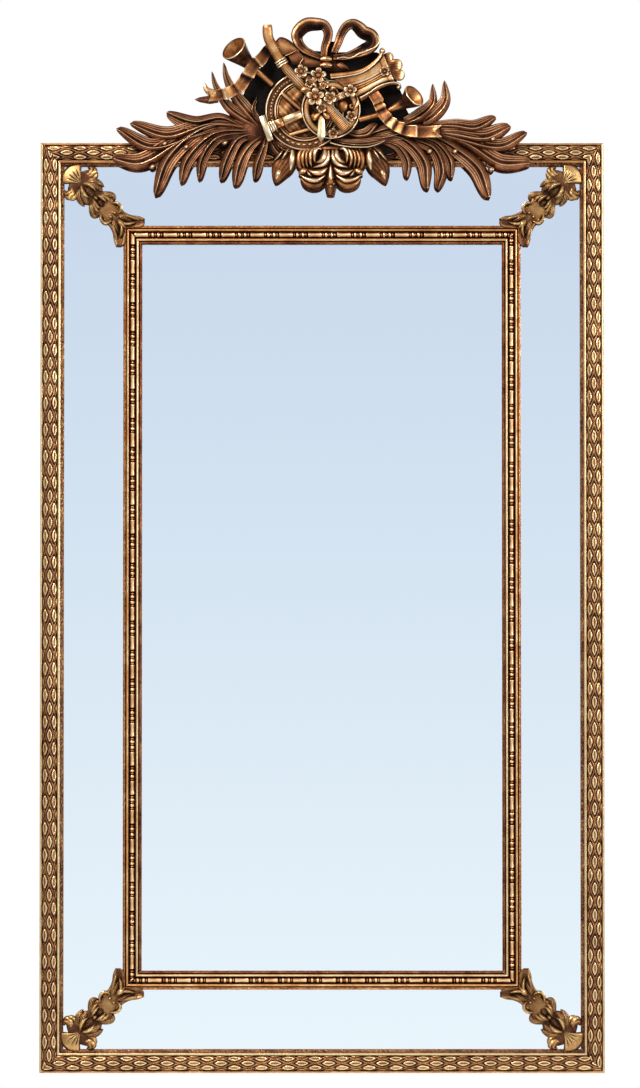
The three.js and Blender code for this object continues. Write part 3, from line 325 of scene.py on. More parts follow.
class Shader:
    """Short calls for building a material's nodes."""

    def __init__(self, tree):
        tree.nodes.clear()
        self.tree = tree

    def add(self, kind, inputs=None, **settings):
        node = self.tree.nodes.new(kind)
        for key, value in settings.items():
            setattr(node, key, value)
        for key, value in (inputs or {}).items():
            self.put(node.inputs[key], value)
        return node

    def put(self, socket, value):
        if isinstance(value, bpy.types.NodeSocket):
            self.tree.links.new(value, socket)
        else:
            socket.default_value = value

    def maths(self, operation, first, second, clamp=False):
        node = self.add("ShaderNodeMath", {0: first, 1: second}, operation=operation, use_clamp=clamp)
        return node.outputs[0]

    def span(self, value, low, high, to_low=0.0, to_high=1.0):
        inputs = {"Value": value, "From Min": low, "From Max": high, "To Min": to_low, "To Max": to_high}
        return self.add("ShaderNodeMapRange", inputs).outputs["Result"]

    def noise(self, where, scale, detail=3.0, rough=0.6):
        inputs = {"Vector": where, "Scale": scale, "Detail": detail, "Roughness": rough}
        return self.add("ShaderNodeTexNoise", inputs).outputs["Fac"]

    def ramp(self, value, stops):
        node = self.add("ShaderNodeValToRGB", {"Fac": value})
        band = node.color_ramp
        band.elements[0].position, band.elements[0].color = stops[0][0], colour(stops[0][1])
        band.elements[1].position, band.elements[1].color = stops[-1][0], colour(stops[-1][1])
        for position, tone in stops[1:-1]:
            band.elements.new(position).color = colour(tone)
        return node.outputs["Color"]

    def mix(self, share, first, second):
        node = self.add("ShaderNodeMix", {"Factor": share}, data_type="RGBA")
        self.put(node.inputs[6], first)
        self.put(node.inputs[7], second)
        return node.outputs[2]

    def bump(self, surface, height, strength, distance):
        node = self.add("ShaderNodeBump", {"Strength": strength, "Distance": distance, "Height": height})
        self.put(surface.inputs["Normal"], node.outputs[0])


def colour(tone):
    """A colour written as 0..255 display values, as the linear value a shader takes."""
    shares = [c / 255 for c in tone]
    return tuple(c / 12.92 if c <= 10 / 255 else ((c + 0.055) / 1.055) ** 2.4 for c in shares) + (1.0,)


def new_material(name):
    """A material, its shader, its surface and the place on the object that its patterns use."""
    material = bpy.data.materials.new(name)
    material.use_nodes = True
    shader = Shader(material.node_tree)
    surface = shader.add("ShaderNodeBsdfPrincipled")
    output = shader.add("ShaderNodeOutputMaterial")
    shader.put(output.inputs["Surface"], surface.outputs[0])
    where = shader.add("ShaderNodeTexCoord").outputs["Object"]
    return material, shader, surface, where


# Ramp stops: the first is the dark patina and painted shade of the hollows, and the last is a painted
# highlight.
PATINA_STOPS = (0.0, 0.2, 0.45, 0.74, 1.0)  # hollow, bole, worn gold, rubbed gold, highlight
GILT_METALLIC = 0.82
BLOTCH_SCALE = 38.0
BLOTCH_DEPTH = 0.17
# how far the painted shade of the hollows reaches
HOLLOW_REACH = 0.016


def patina(name, tones, shadow=0.9):
    """Gilding over red bole, rubbed bright where the carving stands proud, with dark patina and painted shade
    in the hollows.
    """
    material, shader, surface, where = new_material(name)
    lit_and_worn = shader.add("ShaderNodeAttribute", attribute_name="wear_and_light", attribute_type="GEOMETRY").outputs["Fac"]
    cloud = shader.noise(where, BLOTCH_SCALE, 4.0)
    grain = shader.noise(where, 520.0, 3.0, 0.7)
    # convex edges lighter as rubbed wear, and creases darker as painted shade
    edges = shader.add("ShaderNodeNewGeometry").outputs["Pointiness"]
    # painted shade: ambient occlusion darkens the colour in hollows and between pieces, by the share `shadow`
    hollow = shader.add("ShaderNodeAmbientOcclusion", {"Distance": HOLLOW_REACH}, samples=6).outputs["AO"]
    open_to_air = shader.span(hollow, 0.25, 0.95)
    exposure = shader.maths("ADD", lit_and_worn, shader.span(cloud, 0.3, 0.7, -BLOTCH_DEPTH, BLOTCH_DEPTH))
    exposure = shader.maths("ADD", exposure, shader.span(grain, 0.3, 0.7, -0.12, 0.12))
    exposure = shader.maths("ADD", exposure, shader.span(edges, 0.44, 0.56, -0.16, 0.16))
    open_share = shader.span(open_to_air, 0.0, 1.0, 1 - shadow, 1.0)
    exposure = shader.maths("MULTIPLY", exposure, open_share, clamp=True)
    shader.put(surface.inputs["Base Color"], shader.ramp(exposure, list(zip(PATINA_STOPS, tones))))
    surface.inputs["Metallic"].default_value = GILT_METALLIC
    shader.put(surface.inputs["Roughness"], shader.span(exposure, 0.05, 0.85, 0.58, 0.3))
    shader.bump(surface, grain, 0.25, 0.0006)
    return material


def mirror_glass():
    material, shader, surface, where = new_material("silvered_glass")
    surface.inputs["Base Color"].default_value = (0.985, 0.99, 1.0, 1.0)
    surface.inputs["Metallic"].default_value = 1.0
    shader.put(surface.inputs["Roughness"], shader.span(shader.noise(where, 9.0), 0.3, 0.7, 0.0, 0.012))
    return material


def fibreboard():
    material, shader, surface, where = new_material("fibreboard")
    fibres = shader.noise(where, 900.0, 4.0, 0.8)
    cloud = shader.span(shader.noise(where, 14.0, 3.0), 0.35, 0.65, 0, 0.35)
    base = shader.ramp(fibres, [(0.3, (128, 96, 62)), (0.5, (158, 124, 86)), (0.7, (180, 148, 108))])
    shader.put(surface.inputs["Base Color"], shader.mix(cloud, base, colour((130, 98, 66))))
    surface.inputs["Roughness"].default_value = 0.86
    shader.bump(surface, fibres, 0.3, 0.0003)
    return material


def near_black_wood():
    material, shader, surface, where = new_material("near_black_wood")
    along = shader.add("ShaderNodeMapping", {"Vector": where, "Scale": (6.0, 60.0, 60.0)}).outputs[0]
    figure = shader.noise(along, 5.0, 5.0, 0.65)
    # near black: the wood's dark stain, which also stands in as painted shade for the deep hollows of the
    # crest where the backboard shows
    tones = shader.ramp(figure, [(0.3, (8, 5, 3)), (0.5, (15, 10, 7)), (0.72, (26, 17, 11))])
    shader.put(surface.inputs["Base Color"], tones)
    shader.put(surface.inputs["Roughness"], shader.span(figure, 0.3, 0.7, 0.85, 0.7))
    surface.inputs["Specular IOR Level"].default_value = 0.15
    shader.bump(surface, figure, 0.3, 0.0004)
    return material


def zinc_steel():
    material, shader, surface, where = new_material("zinc_steel")
    spangle = shader.add("ShaderNodeTexVoronoi", {"Vector": where, "Scale": 260.0}).outputs["Color"]
    fine = shader.noise(where, 700.0)
    share = shader.maths("MULTIPLY", spangle, 0.35)
    tones = shader.mix(share, colour((176, 178, 180)), colour((140, 144, 150)))
    shader.put(surface.inputs["Base Color"], tones)
    surface.inputs["Metallic"].default_value = 1.0
    shader.put(surface.inputs["Roughness"], shader.span(fine, 0.3, 0.7, 0.28, 0.44))
    return material


def black_rubber():
    material, shader, surface, where = new_material("black_rubber")
    fine = shader.noise(where, 800.0)
    shader.put(surface.inputs["Base Color"], shader.ramp(fine, [(0.3, (20, 20, 21)), (0.7, (38, 38, 40))]))
    surface.inputs["Roughness"].default_value = 0.8
    shader.bump(surface, fine, 0.2, 0.0002)
    return material


FRAME_TONES = [(38, 20, 12), (108, 66, 44), (164, 112, 72), (228, 174, 110), (255, 232, 180)]
BEAD_TONES = [(52, 20, 9), (112, 56, 29), (176, 108, 60), (230, 170, 104), (255, 232, 184)]
BRONZE_TONES = [(18, 9, 5), (90, 50, 31), (158, 100, 66), (220, 162, 112), (255, 232, 192)]
TROPHY_TONES = [(32, 17, 9), (94, 54, 31), (168, 108, 62), (228, 172, 112), (255, 238, 202)]
RIBBON_TONES = [(27, 14, 8), (80, 44, 26), (150, 94, 56), (218, 160, 104), (255, 234, 194)]
MOUNT_TONES = [(30, 18, 11), (104, 64, 40), (162, 118, 72), (220, 178, 118), (248, 222, 168)]
FRAME_GILT = patina("frame_gilt", FRAME_TONES)
BEAD_GILT = patina("bead_gilt", BEAD_TONES, shadow=0.75)
CREST_BRONZE = patina("crest_bronze", BRONZE_TONES)
TROPHY_GOLD = patina("trophy_gold", TROPHY_TONES, shadow=0.84)
RIBBON_GOLD = patina("ribbon_gold", RIBBON_TONES)
MOUNT_GOLD = patina("mount_gold", MOUNT_TONES)

# ---------------------------------------------------------------- mitred mouldings


def bar_place(side):
    """Puts a bar made along x, its outside edge up, on one side of the frame."""
    turns = {"top": (1, 0, 0, 1), "bottom": (-1, 0, 0, -1), "right": (0, 1, -1, 0), "left": (0, -1, 1, 0)}
    xx, xz, zx, zz = turns[side]

    def place(points):
        along, up, forward = points.T
        x, z = xx * along + xz * up, FRAME_MIDDLE + zx * along + zz * up
        return np.stack([x, -(WALL_GAP + forward), z], axis=1)

    return place


def side_sizes(side, inset=0.0):
    """Length of the bar on a side of the frame, and how far its outside edge is from the middle."""
    wide, high = FRAME_WIDTH - 2 * inset, FRAME_HEIGHT - 2 * inset
    return (wide, high / 2) if side in ("top", "bottom") else (high, wide / 2)


def labelled(parts):
    """The points of all parts in one array, and the kind of part that each belongs to."""
    kinds = np.concatenate([[kind] * len(points) for kind, points in parts])
    return np.vstack([points for _, points in parts]), kinds


def mitred_bar(section, length, half_height, spacing, carve, wear_and_light):
    """A bar whose section is [across, forward]; carve moves points and says how worn they are and the light
    and shade painted on them.
    """
    share = np.linspace(-1, 1, int(length / spacing))[:, None]
    along = share * (length / 2 - section[:, 0] - MITRE_GAP)
    moved, lit_and_worn = carve(along, np.broadcast_to(wear_and_light, along.shape))
    following = np.roll(section, -1, axis=0) - np.roll(section, 1, axis=0)
    normal = np.stack([-following[:, 1], following[:, 0]], axis=1)
    normal /= np.maximum(np.linalg.norm(normal, axis=1, keepdims=True), 1e-9)
    across = section[:, 0] + moved * normal[:, 0]
    forward = section[:, 1] + moved * normal[:, 1]
    return np.stack([along, half_height - across, forward], axis=-1), lit_and_worn


# Outer moulding: a run of overlapping leaf buds on a half-round, between a fillet and a small bead.
# Buds in each row, by side
LAUREL_PERIODS = {"top": 21, "bottom": 21, "left": 35, "right": 35}
LAUREL_ROW = 8.1
LAUREL_HALF_LENGTH = 12.4
LAUREL_HALF_WIDTH = 4.6
SHEATH_HALF_LENGTH = 20
SHEATH_HALF_WIDTH = 7.4
SPRAY_REACH = 350  # the top rail stays dark behind the leaf sprays
SPRAY_FADE = 60


def pointed_oval(x, y, half_length, half_width):
    """Distance inside a pointed oval's outline, negative outside."""
    share = np.clip(1 - np.abs(x / half_length) ** 1.7, -0.6, 1)
    return half_width * share - np.abs(y)


def bud_rows(along, around, pitch, phase):
    """For each row: distances along and across from the nearest bud's middle, and how strong the row is."""
    for row in range(-2, 3):
        shift = phase + 0.5 * (row % 2)
        x = ((along / pitch - shift + 0.5) % 1 - 0.5) * pitch
        yield x, around - row * LAUREL_ROW, 1.0 if abs(row) < 2 else 0.5


def laurel(*where):
    """Height and wear of the buds, each in a faint sheath that lies below its neighbours, with painted shade
    in the groove round each bud.
    """
    height, lit_and_worn = 0.0, 0.36
    for x, y, strength in bud_rows(*where):
        line = bump_at(pointed_oval(x, y, SHEATH_HALF_LENGTH, SHEATH_HALF_WIDTH), 0.0, 0.5) * strength
        height = height + 0.45 * line
        lit_and_worn = np.maximum(lit_and_worn, 0.36 + 0.22 * line)
    for x, y, strength in bud_rows(*where):
        inside = pointed_oval(x, y, LAUREL_HALF_LENGTH, LAUREL_HALF_WIDTH)
        # painted shade: the groove round each bud is darkened, more widely towards its tips
        tip = smooth_step(np.abs(x), 6.0, 12.0)
        groove = bump_at(inside, -0.8, 0.95 + 0.9 * tip) * (inside < 0.3)
        height = height - 1.4 * groove * strength
        lit_and_worn = lit_and_worn * (1 - 0.97 * groove * strength)
        rim = smooth_step(inside, 0.0, 0.6)
        dish = smooth_step(inside, 1.5, 2.6)
        slit = bump_at(y, 0, 0.85) * smooth_step(-np.abs(x), -8.0, -6.0)
        bud = (1.9 * rim - 0.5 * dish - 0.8 * slit) * strength
        height = np.where(inside > 0, bud, height)
        shine = (1.12 * rim - 0.44 * dish - 0.45 * slit) * (0.5 + 0.5 * strength)
        lit_and_worn = np.where(inside > 0, np.maximum(shine, 0.04), lit_and_worn)
    return height, lit_and_worn


def outer_section():
    """Section of the outer moulding, with what each point belongs to."""
    fillet, bead = EDGE_FILLET / 2, INNER_BEAD / 2
    torus = (EDGE_FILLET + TORUS_WIDTH / 2, FRAME_DEPTH - TORUS_RISE)
    slope_start = EDGE_FILLET + TORUS_WIDTH + INNER_BEAD
    share = np.linspace(0, 1, 7)
    slope = slope_start + (STILE_WIDTH - slope_start) * share
    slope_high = SLOPE_TOP + (ON_GLASS + LIP_EDGE - SLOPE_TOP) * share**0.8
    rabbet = STILE_WIDTH - LIP_WIDTH
    return labelled([
        ("side", [[0, 0], [0, 8], [0, 16], [0, SIDE_DEPTH - 1.5]]),
        ("fillet", arc_points((fillet, SIDE_DEPTH), (fillet, fillet), 1, 0.08, 9)),
        ("torus", arc_points(torus, (TORUS_WIDTH / 2 - SEAT, TORUS_RISE), 0.97, 0.03, 40)),
        ("fillet", arc_points((slope_start - bead, INNER_BEAD_DEPTH), (bead, bead), 0.95, 0.05, 9)),
        ("sand", np.column_stack([slope, slope_high])),
        ("back", [[STILE_WIDTH, ON_GLASS], [rabbet, ON_GLASS], [rabbet, 0]]),
    ])


def outer_bar(name, phase, outside, inside, shaded=0.0):
    """A bar of the outer moulding; `outside` and `inside` say how worn its two fillets are and how lit, as
    painted light that differs from side to side of the frame.
    """
    side = name.split("_")[-1]
    length, half = side_sizes(side)
    section, kinds = outer_section()
    torus, sand, edge = (kinds == kind for kind in ("torus", "sand", "fillet"))
    run = run_along(section[torus])
    around = run - run[-1] / 2
    wear_and_light = np.select([edge, sand, kinds == "side"], [inside, 0.5, 0.42], 0.3)
    wear_and_light = np.where((section[:, 0] < EDGE_FILLET + 0.5) & edge, outside, wear_and_light)
    wear_and_light = np.where((section[:, 1] < INNER_BEAD_DEPTH - 1) & edge, 0.4, wear_and_light)

    def carve(along, lit_and_worn):
        moved, lit_and_worn = np.zeros_like(along), np.array(lit_and_worn)
        crown = along[:, torus]
        bud, shine = laurel(crown + length / 2, around[None, :], length / LAUREL_PERIODS[side], phase)
        moved[:, torus] = bud
        # painted shade on the top rail's buds behind the leaf sprays
        behind_spray = smooth_step(np.abs(crown), SPRAY_REACH, SPRAY_REACH - SPRAY_FADE)
        lit_and_worn[:, torus] = shine * (1 - shaded * behind_spray)
        rough = chance.random((len(along), sand.sum()))
        moved[:, sand] = 0.7 * (rough - 0.5) * np.array([0.2] + [1] * (sand.sum() - 2) + [0.2])
        lit_and_worn[:, sand] = 0.12 + 0.66 * rough**2
        moved[:, edge] = 0.12 * (chance.random((len(along), edge.sum())) - 0.5)
        return moved, lit_and_worn

    spacing = 1.5 if side in ("left", "right") else 1.2
    made = Carving().shell(*mitred_bar(section, length, half, spacing, carve, wear_and_light))
    made.build(name, bar_place(side), FRAME_GILT, "frame_gilt")


# painted light: each side's fillets are brighter or dimmer as the light falls on it, and the top rail is
# shaded behind the crest
outer_bar("frame_rail_top", 0.97, 0.62, 0.56, shaded=0.4)
outer_bar("frame_rail_bottom", 0.25, 0.6, 0.98)
outer_bar("frame_stile_left", 0.66, 0.93, 0.95)
outer_bar("frame_stile_right", 0.09, 0.9, 0.9)

# Inner frame: sanded edges, two fillets and a run of beads and reels in the channel between them.
BEAD_PITCH = 51.4
REEL_LENGTH = 25.4
DISCS = (27.4, 37.5, 47.9)
DISC_HALF = 1.0
BEADS = (32.6, 42.6)
BEAD_HALF = 3.9
# Half of the section, from the rail's edge in: [distance in from the edge, height above the glass].
BEAD_HALF_SECTION = [
    ("sand", [(0, 0), (0, 3), (0.3, 6.4), (1.4, 8.2), (2.8, 9.2), (4.2, 9.2)]),
    ("groove", [(4.7, 6.2), (5.6, 5.8), (6.0, 8.4)]),
    ("fillet", [(6.3, 10.3), (7.0, 11.2), (8.3, 11.6), (9.5, 11.1), (10.1, 9.9)]),
    ("hollow", [(10.8, 7.3), (12.4, 5.1), (14.6, 4.3)]),
]


def round_edge(distance, half):
    """Height of a unit half-round that is `half` wide, at a distance from its middle."""
    return np.sqrt(np.clip(1 - (distance / half) ** 2, 0, 1))


def bead_radius(along):
    """Radius of the run of beads and reels."""
    x = along % BEAD_PITCH
    share = np.abs(x - REEL_LENGTH / 2) / (REEL_LENGTH / 2)
    reel = np.where(share < 1, 4.1 + 0.75 * share**2 - 2.2 * smooth_step(share, 0.9, 1.0), 0)
    radius = np.maximum(2.5, reel)
    for at in DISCS:
        disc = 2.6 + 1.4 * round_edge(x - at, DISC_HALF)
        radius = np.maximum(radius, np.where(np.abs(x - at) < DISC_HALF, disc, 0))
    for at in BEADS:
        radius = np.maximum(radius, 4.7 * round_edge(x - at, BEAD_HALF))
    return radius


def bead_section():
    """Section of the inner frame's bars, with what each point belongs to."""
    half, kinds = labelled(BEAD_HALF_SECTION)
    across, high = half[:, 0], ON_GLASS + half[:, 1]
    left = np.column_stack([across, high])
    right = np.column_stack([BEAD_RAIL_WIDTH - across, high])[::-1]
    far, near = (BEAD_RAIL_WIDTH + BEAD_STEM) / 2, (BEAD_RAIL_WIDTH - BEAD_STEM) / 2
    back = [[far, ON_GLASS], [far, GLASS_BACK], [near, GLASS_BACK], [near, ON_GLASS]]
    return np.vstack([left, right, back]), np.concatenate([kinds, kinds[::-1], ["back"] * 4])


def bead_run(made, length, half, phase):
    """The beads and reels along a bar, cut to the mitre at its ends."""
    middle = BEAD_RAIL_WIDTH / 2
    reach = length / 2 - middle - MITRE_GAP
    along = np.linspace(-reach, reach, int(2 * reach / (0.85)))
    radius = bead_radius(along + length / 2 + phase * BEAD_PITCH)
    angle = full_turn(20)
    offset = np.cos(angle)[None, :] * radius[:, None]
    mitred = np.clip(1 - (reach - np.abs(along)) / BEAD_RADIUS, 0, 1)[:, None]
    shift = np.sign(along)[:, None] * np.clip(offset, -BEAD_RADIUS, BEAD_RADIUS) * mitred
    forward = ON_GLASS + BEAD_RAIL_RISE - BEAD_RADIUS + 0.1 + np.sin(angle)[None, :] * radius[:, None]
    # painted highlight: only the front of each bead and reel is bright, and its sides are dark
    lit = 0.22 + 0.78 * np.clip(np.sin(angle), 0, 1) ** 4
    lit_and_worn = (0.14 + 0.92 * smooth_step(radius, 3.2, 4.4))[:, None] * lit[None, :]
    made.shell(np.stack([along[:, None] + shift, half - middle + offset, forward], axis=-1), lit_and_worn)


def bead_bar(name, phase, fillets=0.68):
    """A bar of the inner frame; `fillets` says how worn its fillets are, with painted light that leaves the
    top rail's fillets dimmer.
    """
    side = name.split("_")[-1]
    length, half = side_sizes(side, BEAD_INSET)
    section, kinds = bead_section()
    sand = kinds == "sand"
    inner = section[:, 0] > BEAD_RAIL_WIDTH / 2
    wear_and_light = np.select([kinds == "fillet", sand, kinds == "hollow"], [fillets, 0.42, 0.3], 0.02)
    wear_and_light = np.where((kinds == "fillet") & inner, fillets + 0.16, wear_and_light)

    def carve(along, lit_and_worn):
        moved, lit_and_worn = np.zeros_like(along), np.array(lit_and_worn)
        rough = chance.random((len(along), sand.sum()))
        moved[:, sand] = 0.5 * (rough - 0.5)
        lit_and_worn[:, sand] = (0.24 + 0.4 * rough**1.5) * np.where(inner[sand], 0.4, 1.0)
        return moved, lit_and_worn

    made = Carving().shell(*mitred_bar(section, length, half, 2.0, carve, wear_and_light))
    bead_run(made, length, half, phase)
    made.build(name, bar_place(side), BEAD_GILT, "bead_gilt")


# painted light: dimmer fillets on the top rail
bead_bar("bead_rail_top", 0.62, fillets=0.54)
bead_bar("bead_rail_bottom", 0.62)
bead_bar("bead_stile_left", 0.3)
bead_bar("bead_stile_right", 0.3)

# ---------------------------------------------------------------- outlines and profiles
# An outline gives a leaf's half width along its length; a profile gives height and wear, with the painted
# light and shade, at s across it (-1 to 1) and t along it (0 to 1).


def leaf_outline(share):
    """Narrow at the root, broad to near the blunt tip."""
    shoulder = 0.68
    rising = 0.42 + 0.58 * np.sin(np.clip(share / shoulder, 0, 1) * np.pi / 2)
    falling = np.cos(np.clip((share - shoulder) / (1 - shoulder), 0, 1) * np.pi / 2) ** 0.4
    return np.where(share < shoulder, rising, np.maximum(falling, 0.05))


def fang_outline(share):
    """Broad below, and drawn out to a sharp tip."""
    shoulder = 0.35
    rising = 0.7 + 0.3 * np.sin(np.clip(share / shoulder, 0, 1) * np.pi / 2)
    return rising * np.clip(1 - np.clip((share - shoulder) / (1 - shoulder), 0, 1), 0.004, 1) ** 0.6


def lobe_outline(share):
    """A rounded lobe."""
    belly = np.maximum(0.35 + 0.65 * np.sin(np.pi * share**0.85), 0.1)
    return belly * np.sqrt(np.clip(1.02 - share**8, 0, 1))


def even_outline(share):
    """Nearly the same width all along, with rounded ends."""
    return np.sqrt(np.clip(1 - np.abs(2 * share - 1) ** 4, 0.01, 1))


def widening_outline(root, shoulder):
    """An outline that widens evenly from its root and is rounded off past its shoulder."""

    def outline(share):
        past = np.clip(share - shoulder, 0, 1) / (1 - shoulder)
        return (root + (1 - root) * share) * np.sqrt(np.clip(1 - past**2, 0.004, 1))

    return outline


def outline_by(shares, widths):
    """An outline that is straight between the half widths at some shares of its length."""
    return lambda share: np.interp(share, shares, widths)


def leaf_profile(s, t):
    """A sharp ridge with a painted highlight along it, a streaked outer face, and veined gouges on the inner
    side.
    """
    a = np.abs(s)
    fade = smooth_step(t, 1.0, 0.82) * smooth_step(t, 0.0, 0.12)
    streaks = 0.7 * bump_at(a, 0.36, 0.06) + 0.55 * bump_at(a, 0.62, 0.06)
    veins = bump_at(a, 0.40, 0.055) + 0.9 * bump_at(a, 0.63, 0.05) + 0.85 * bump_at(a, 0.84, 0.045)
    outer = 0.14 + 0.86 * (1 - a) ** 1.1 + 0.05 * streaks * fade
    inner = 0.30 + 0.70 * np.exp(-a / 0.11) + 0.10 * smooth_step(a, 0.3, 0.9) + 0.13 * veins * fade
    inner = inner - 0.3 * smooth_step(a, 0.93, 1.0)
    height = np.where(s < 0, outer, inner)
    # painted highlight along the ridge, dimmer near the root
    lit = 0.5 + 0.5 * smooth_step(t, 0.02, 0.3)
    worn_outer = 0.25 + 0.18 * (1 - a) + 0.42 * streaks * fade
    worn_inner = 0.15 + 0.12 * smooth_step(a, 0.15, 0.6) + 0.6 * veins * fade
    lit_and_worn = np.where(s < 0, worn_outer, worn_inner) + 0.9 * bump_at(s, 0, 0.07) * lit
    return height, lit_and_worn * (1 - 0.95 * smooth_step(a, 0.9, 1.0))


def dark_edge(lit_and_worn, a, start, share=0.9):
    """Wear that falls by a share towards the edges, where a is 1."""
    return lit_and_worn * (1 - share * smooth_step(a, start, 1.0))


def petal_profile(s, t):
    """A rounded petal with a low middle rib and a dark outline."""
    a = np.abs(s)
    height = 0.3 + 0.7 * round_edge(0.98 * a, 1) + 0.05 * bump_at(a, 0, 0.12)
    lit_and_worn = 0.22 + 0.42 * bump_at(s, -0.1, 0.5) + 0.25 * bump_at(a, 0.74, 0.1)
    return height, dark_edge(lit_and_worn, a, 0.84)


def ribbed_profile(s, t):
    """A petal with fine ribs along it."""
    height, lit_and_worn = petal_profile(s, t)
    ribs = 0.5 + 0.5 * np.cos(s * np.pi * 5)
    return height - 0.1 * (1 - ribs), lit_and_worn - 0.1 + 0.34 * (ribs - 0.5)


def sword_profile(s, t):
    """Two flat faces that meet in a sharp middle ridge."""
    a = np.abs(s)
    lit_and_worn = 0.62 + 0.3 * bump_at(a, 0.62, 0.22) - 0.14 * bump_at(a, 0, 0.16) - 0.5 * smooth_step(a, 0.88, 1.0)
    return 0.5 + 0.5 * (1 - a), lit_and_worn


def rib_profile(s, t):
    """A narrow rib: lit on its crest, dark down both sides."""
    a = np.abs(s)
    return 0.2 + 0.8 * (1 - a**2.4), dark_edge(0.4 + 0.48 * bump_at(s, -0.12, 0.5), a, 0.8, 0.92)


def husk_profile(s, t):
    """A husk with fine dark ribs, rubbed bright at its tip."""
    a = np.abs(s)
    ribs = 0.5 + 0.5 * np.cos(s * np.pi * 6)
    height = 0.25 + 0.75 * round_edge(0.98 * a, 1) - 0.05 * (1 - ribs)
    lit_and_worn = 0.12 + 0.18 * ribs + 0.3 * bump_at(t, 0.84, 0.12) * bump_at(s, 0.1, 0.5)
    return height, dark_edge(lit_and_worn, a, 0.84)


def scallop_profile(s, t):
    """A shell's lobe, brown at its root and rubbed bright round its rim."""
    a = np.abs(s)
    rim = np.maximum(bump_at(t, 0.88, 0.2), 0.6 * bump_at(a, 0.72, 0.14) * smooth_step(t, 0.3, 0.6))
    swelling = 0.72 + 0.28 * smooth_step(t, 0.2, 0.8)
    height = 0.6 + 0.4 * np.sqrt(np.clip(1 - (0.97 * a) ** 4, 0, 1)) * swelling
    lit_and_worn = 0.24 + 0.6 * rim + 0.1 * np.cos(a * 16)
    return height, dark_edge(dark_edge(lit_and_worn, a, 0.88, 0.92), t, 0.97, 0.7)


def leaf_swell(t):
    """How high a leaf stands along its length."""
    return 0.5 + 0.5 * np.sin(np.pi * np.minimum(1, t * 0.75)) - 0.25 * t**4


def arched(low):
    """A swell that is highest half way along."""
    return lambda t: low + (1 - low) * np.sin(np.pi * t)


# ---------------------------------------------------------------- carved forms


def blade(made, line, half_width, rise, foot=SEAT, curl=0.0, profile=leaf_profile, outline=leaf_outline,
          stations=44, points=25, lean=0.0, swell=leaf_swell, gloss=0.0):
    """A leaf or petal along a line, root first.

    `curl` lifts its tip, `lean` widens the side that it bends to, and `gloss` makes all of it brighter.
    """
    path = smooth_line(line, stations)
    along = directions(path * [1, 1, 0])
    across = flat_across(along)
    turn = np.sum(np.cross(along[:-1], along[1:])[:, 2])
    side = 1.0 if turn >= 0 else -1.0
    t = np.linspace(0, 1, stations)[:, None]
    v = np.linspace(-1, 1, points)
    s = np.sign(v) * np.abs(v) ** 1.15
    wide = half_width * outline(t)
    reach = np.where(s < 0, 1 - lean, 1 + lean)[None, :] * s[None, :] * wide
    shape, lit_and_worn = profile(s[None, :] + 0 * t, t)
    lifted = curl * np.clip((t - 0.7) / 0.3, 0, 1) ** 2
    fullness = np.clip(wide / half_width, 0.15, 1) ** 0.5
    forward = foot + path[:, 2:3] + lifted + shape * rise * swell(t) * fullness
    front = path[:, None, :2] + across[:, None, :2] * (side * reach)[..., None]
    front = np.concatenate([front, forward[..., None]], axis=-1)
    under = []
    for edge in (0.8, -0.8):
        flat = path[:, :2] + across[:, :2] * (side * (1 + lean * np.sign(edge)) * edge) * wide
        under.append(np.concatenate([flat, foot + path[:, 2:3] + 0.6 * lifted], axis=1))
    add_relief(made, front, under, lit_and_worn + gloss)


def dome(made, centre, radii, rise, foot=SEAT, stations=9, sides=20, wear_and_light=0.7, tilt=0.0):
    """A rounded boss on the carving, worn and with a painted highlight towards its crown."""
    angle = full_turn(sides)
    x, z = radii[0] * np.cos(angle), radii[1] * np.sin(angle)
    turned = [x * math.cos(tilt) - z * math.sin(tilt), x * math.sin(tilt) + z * math.cos(tilt)]
    turned = np.stack(turned, axis=1)
    rings = [np.column_stack([centre + turned, np.full(sides, foot)])]
    level = np.linspace(0, np.pi / 2 * 0.98, stations)
    for v in level:
        high = foot + rise * math.sin(v) + 0.01
        rings.append(np.column_stack([centre + turned * math.cos(v), np.full(sides, high)]))
    # painted highlight: brighter towards the crown
    lit_and_worn = np.concatenate([[0.05], wear_and_light * (0.25 + 0.75 * np.sin(level))])
    made.shell(np.array(rings), lit_and_worn[:, None])


def tube(made, line, radius, stations=40, sides=20, wear_and_light=0.5, shine=0.35, sharp=1.0, flutes=None, tone=None):
    """A round bar along a line; radius gives [across, forward] at each share of the line.

    `shine` paints a highlight along its front and its back half is painted darker, `flutes` scales its
    radius, and `tone` adds to the wear along it.
    """
    path = smooth_line(line, stations)
    _, across, ahead = round_frame(path)
    t = np.arange(stations) / (stations - 1)
    angle = full_turn(sides)
    wide, deep = (np.asarray(r) * np.ones(stations) for r in radius(t))
    scale = 1.0 if flutes is None else flutes(angle[None, :], t[:, None])
    a = (np.cos(angle)[None, :] * wide[:, None] * scale)[..., None]
    b = (np.sin(angle)[None, :] * deep[:, None] * scale)[..., None]
    rings = path[:, None] + across[:, None] * a + ahead[:, None] * b
    # painted highlight on the front, painted shade on the back half
    top = np.clip(np.sin(angle), 0, 1)[None, :] ** sharp - 0.5 * (np.sin(angle) < 0)[None, :]
    lit_and_worn = wear_and_light + shine * top + 3.0 * (scale - 1.0)
    lit_and_worn = lit_and_worn + (0 if tone is None else tone(t)[:, None])
    made.shell(rings, np.clip(lit_and_worn * np.ones((stations, 1)), 0, 1))


def turned_ring(made, section, centre):
    """A ring turned round an axis that points forward; its section's points are [radius, forward, wear with
    painted light].
    """
    radius, forward, wear_and_light = np.array(section, float).T
    x, z = round_points(centre, radius, full_turn(120)[:, None])
    made.shell(np.stack([x, z, np.broadcast_to(forward, x.shape)], axis=-1), wear_and_light, loop=True)


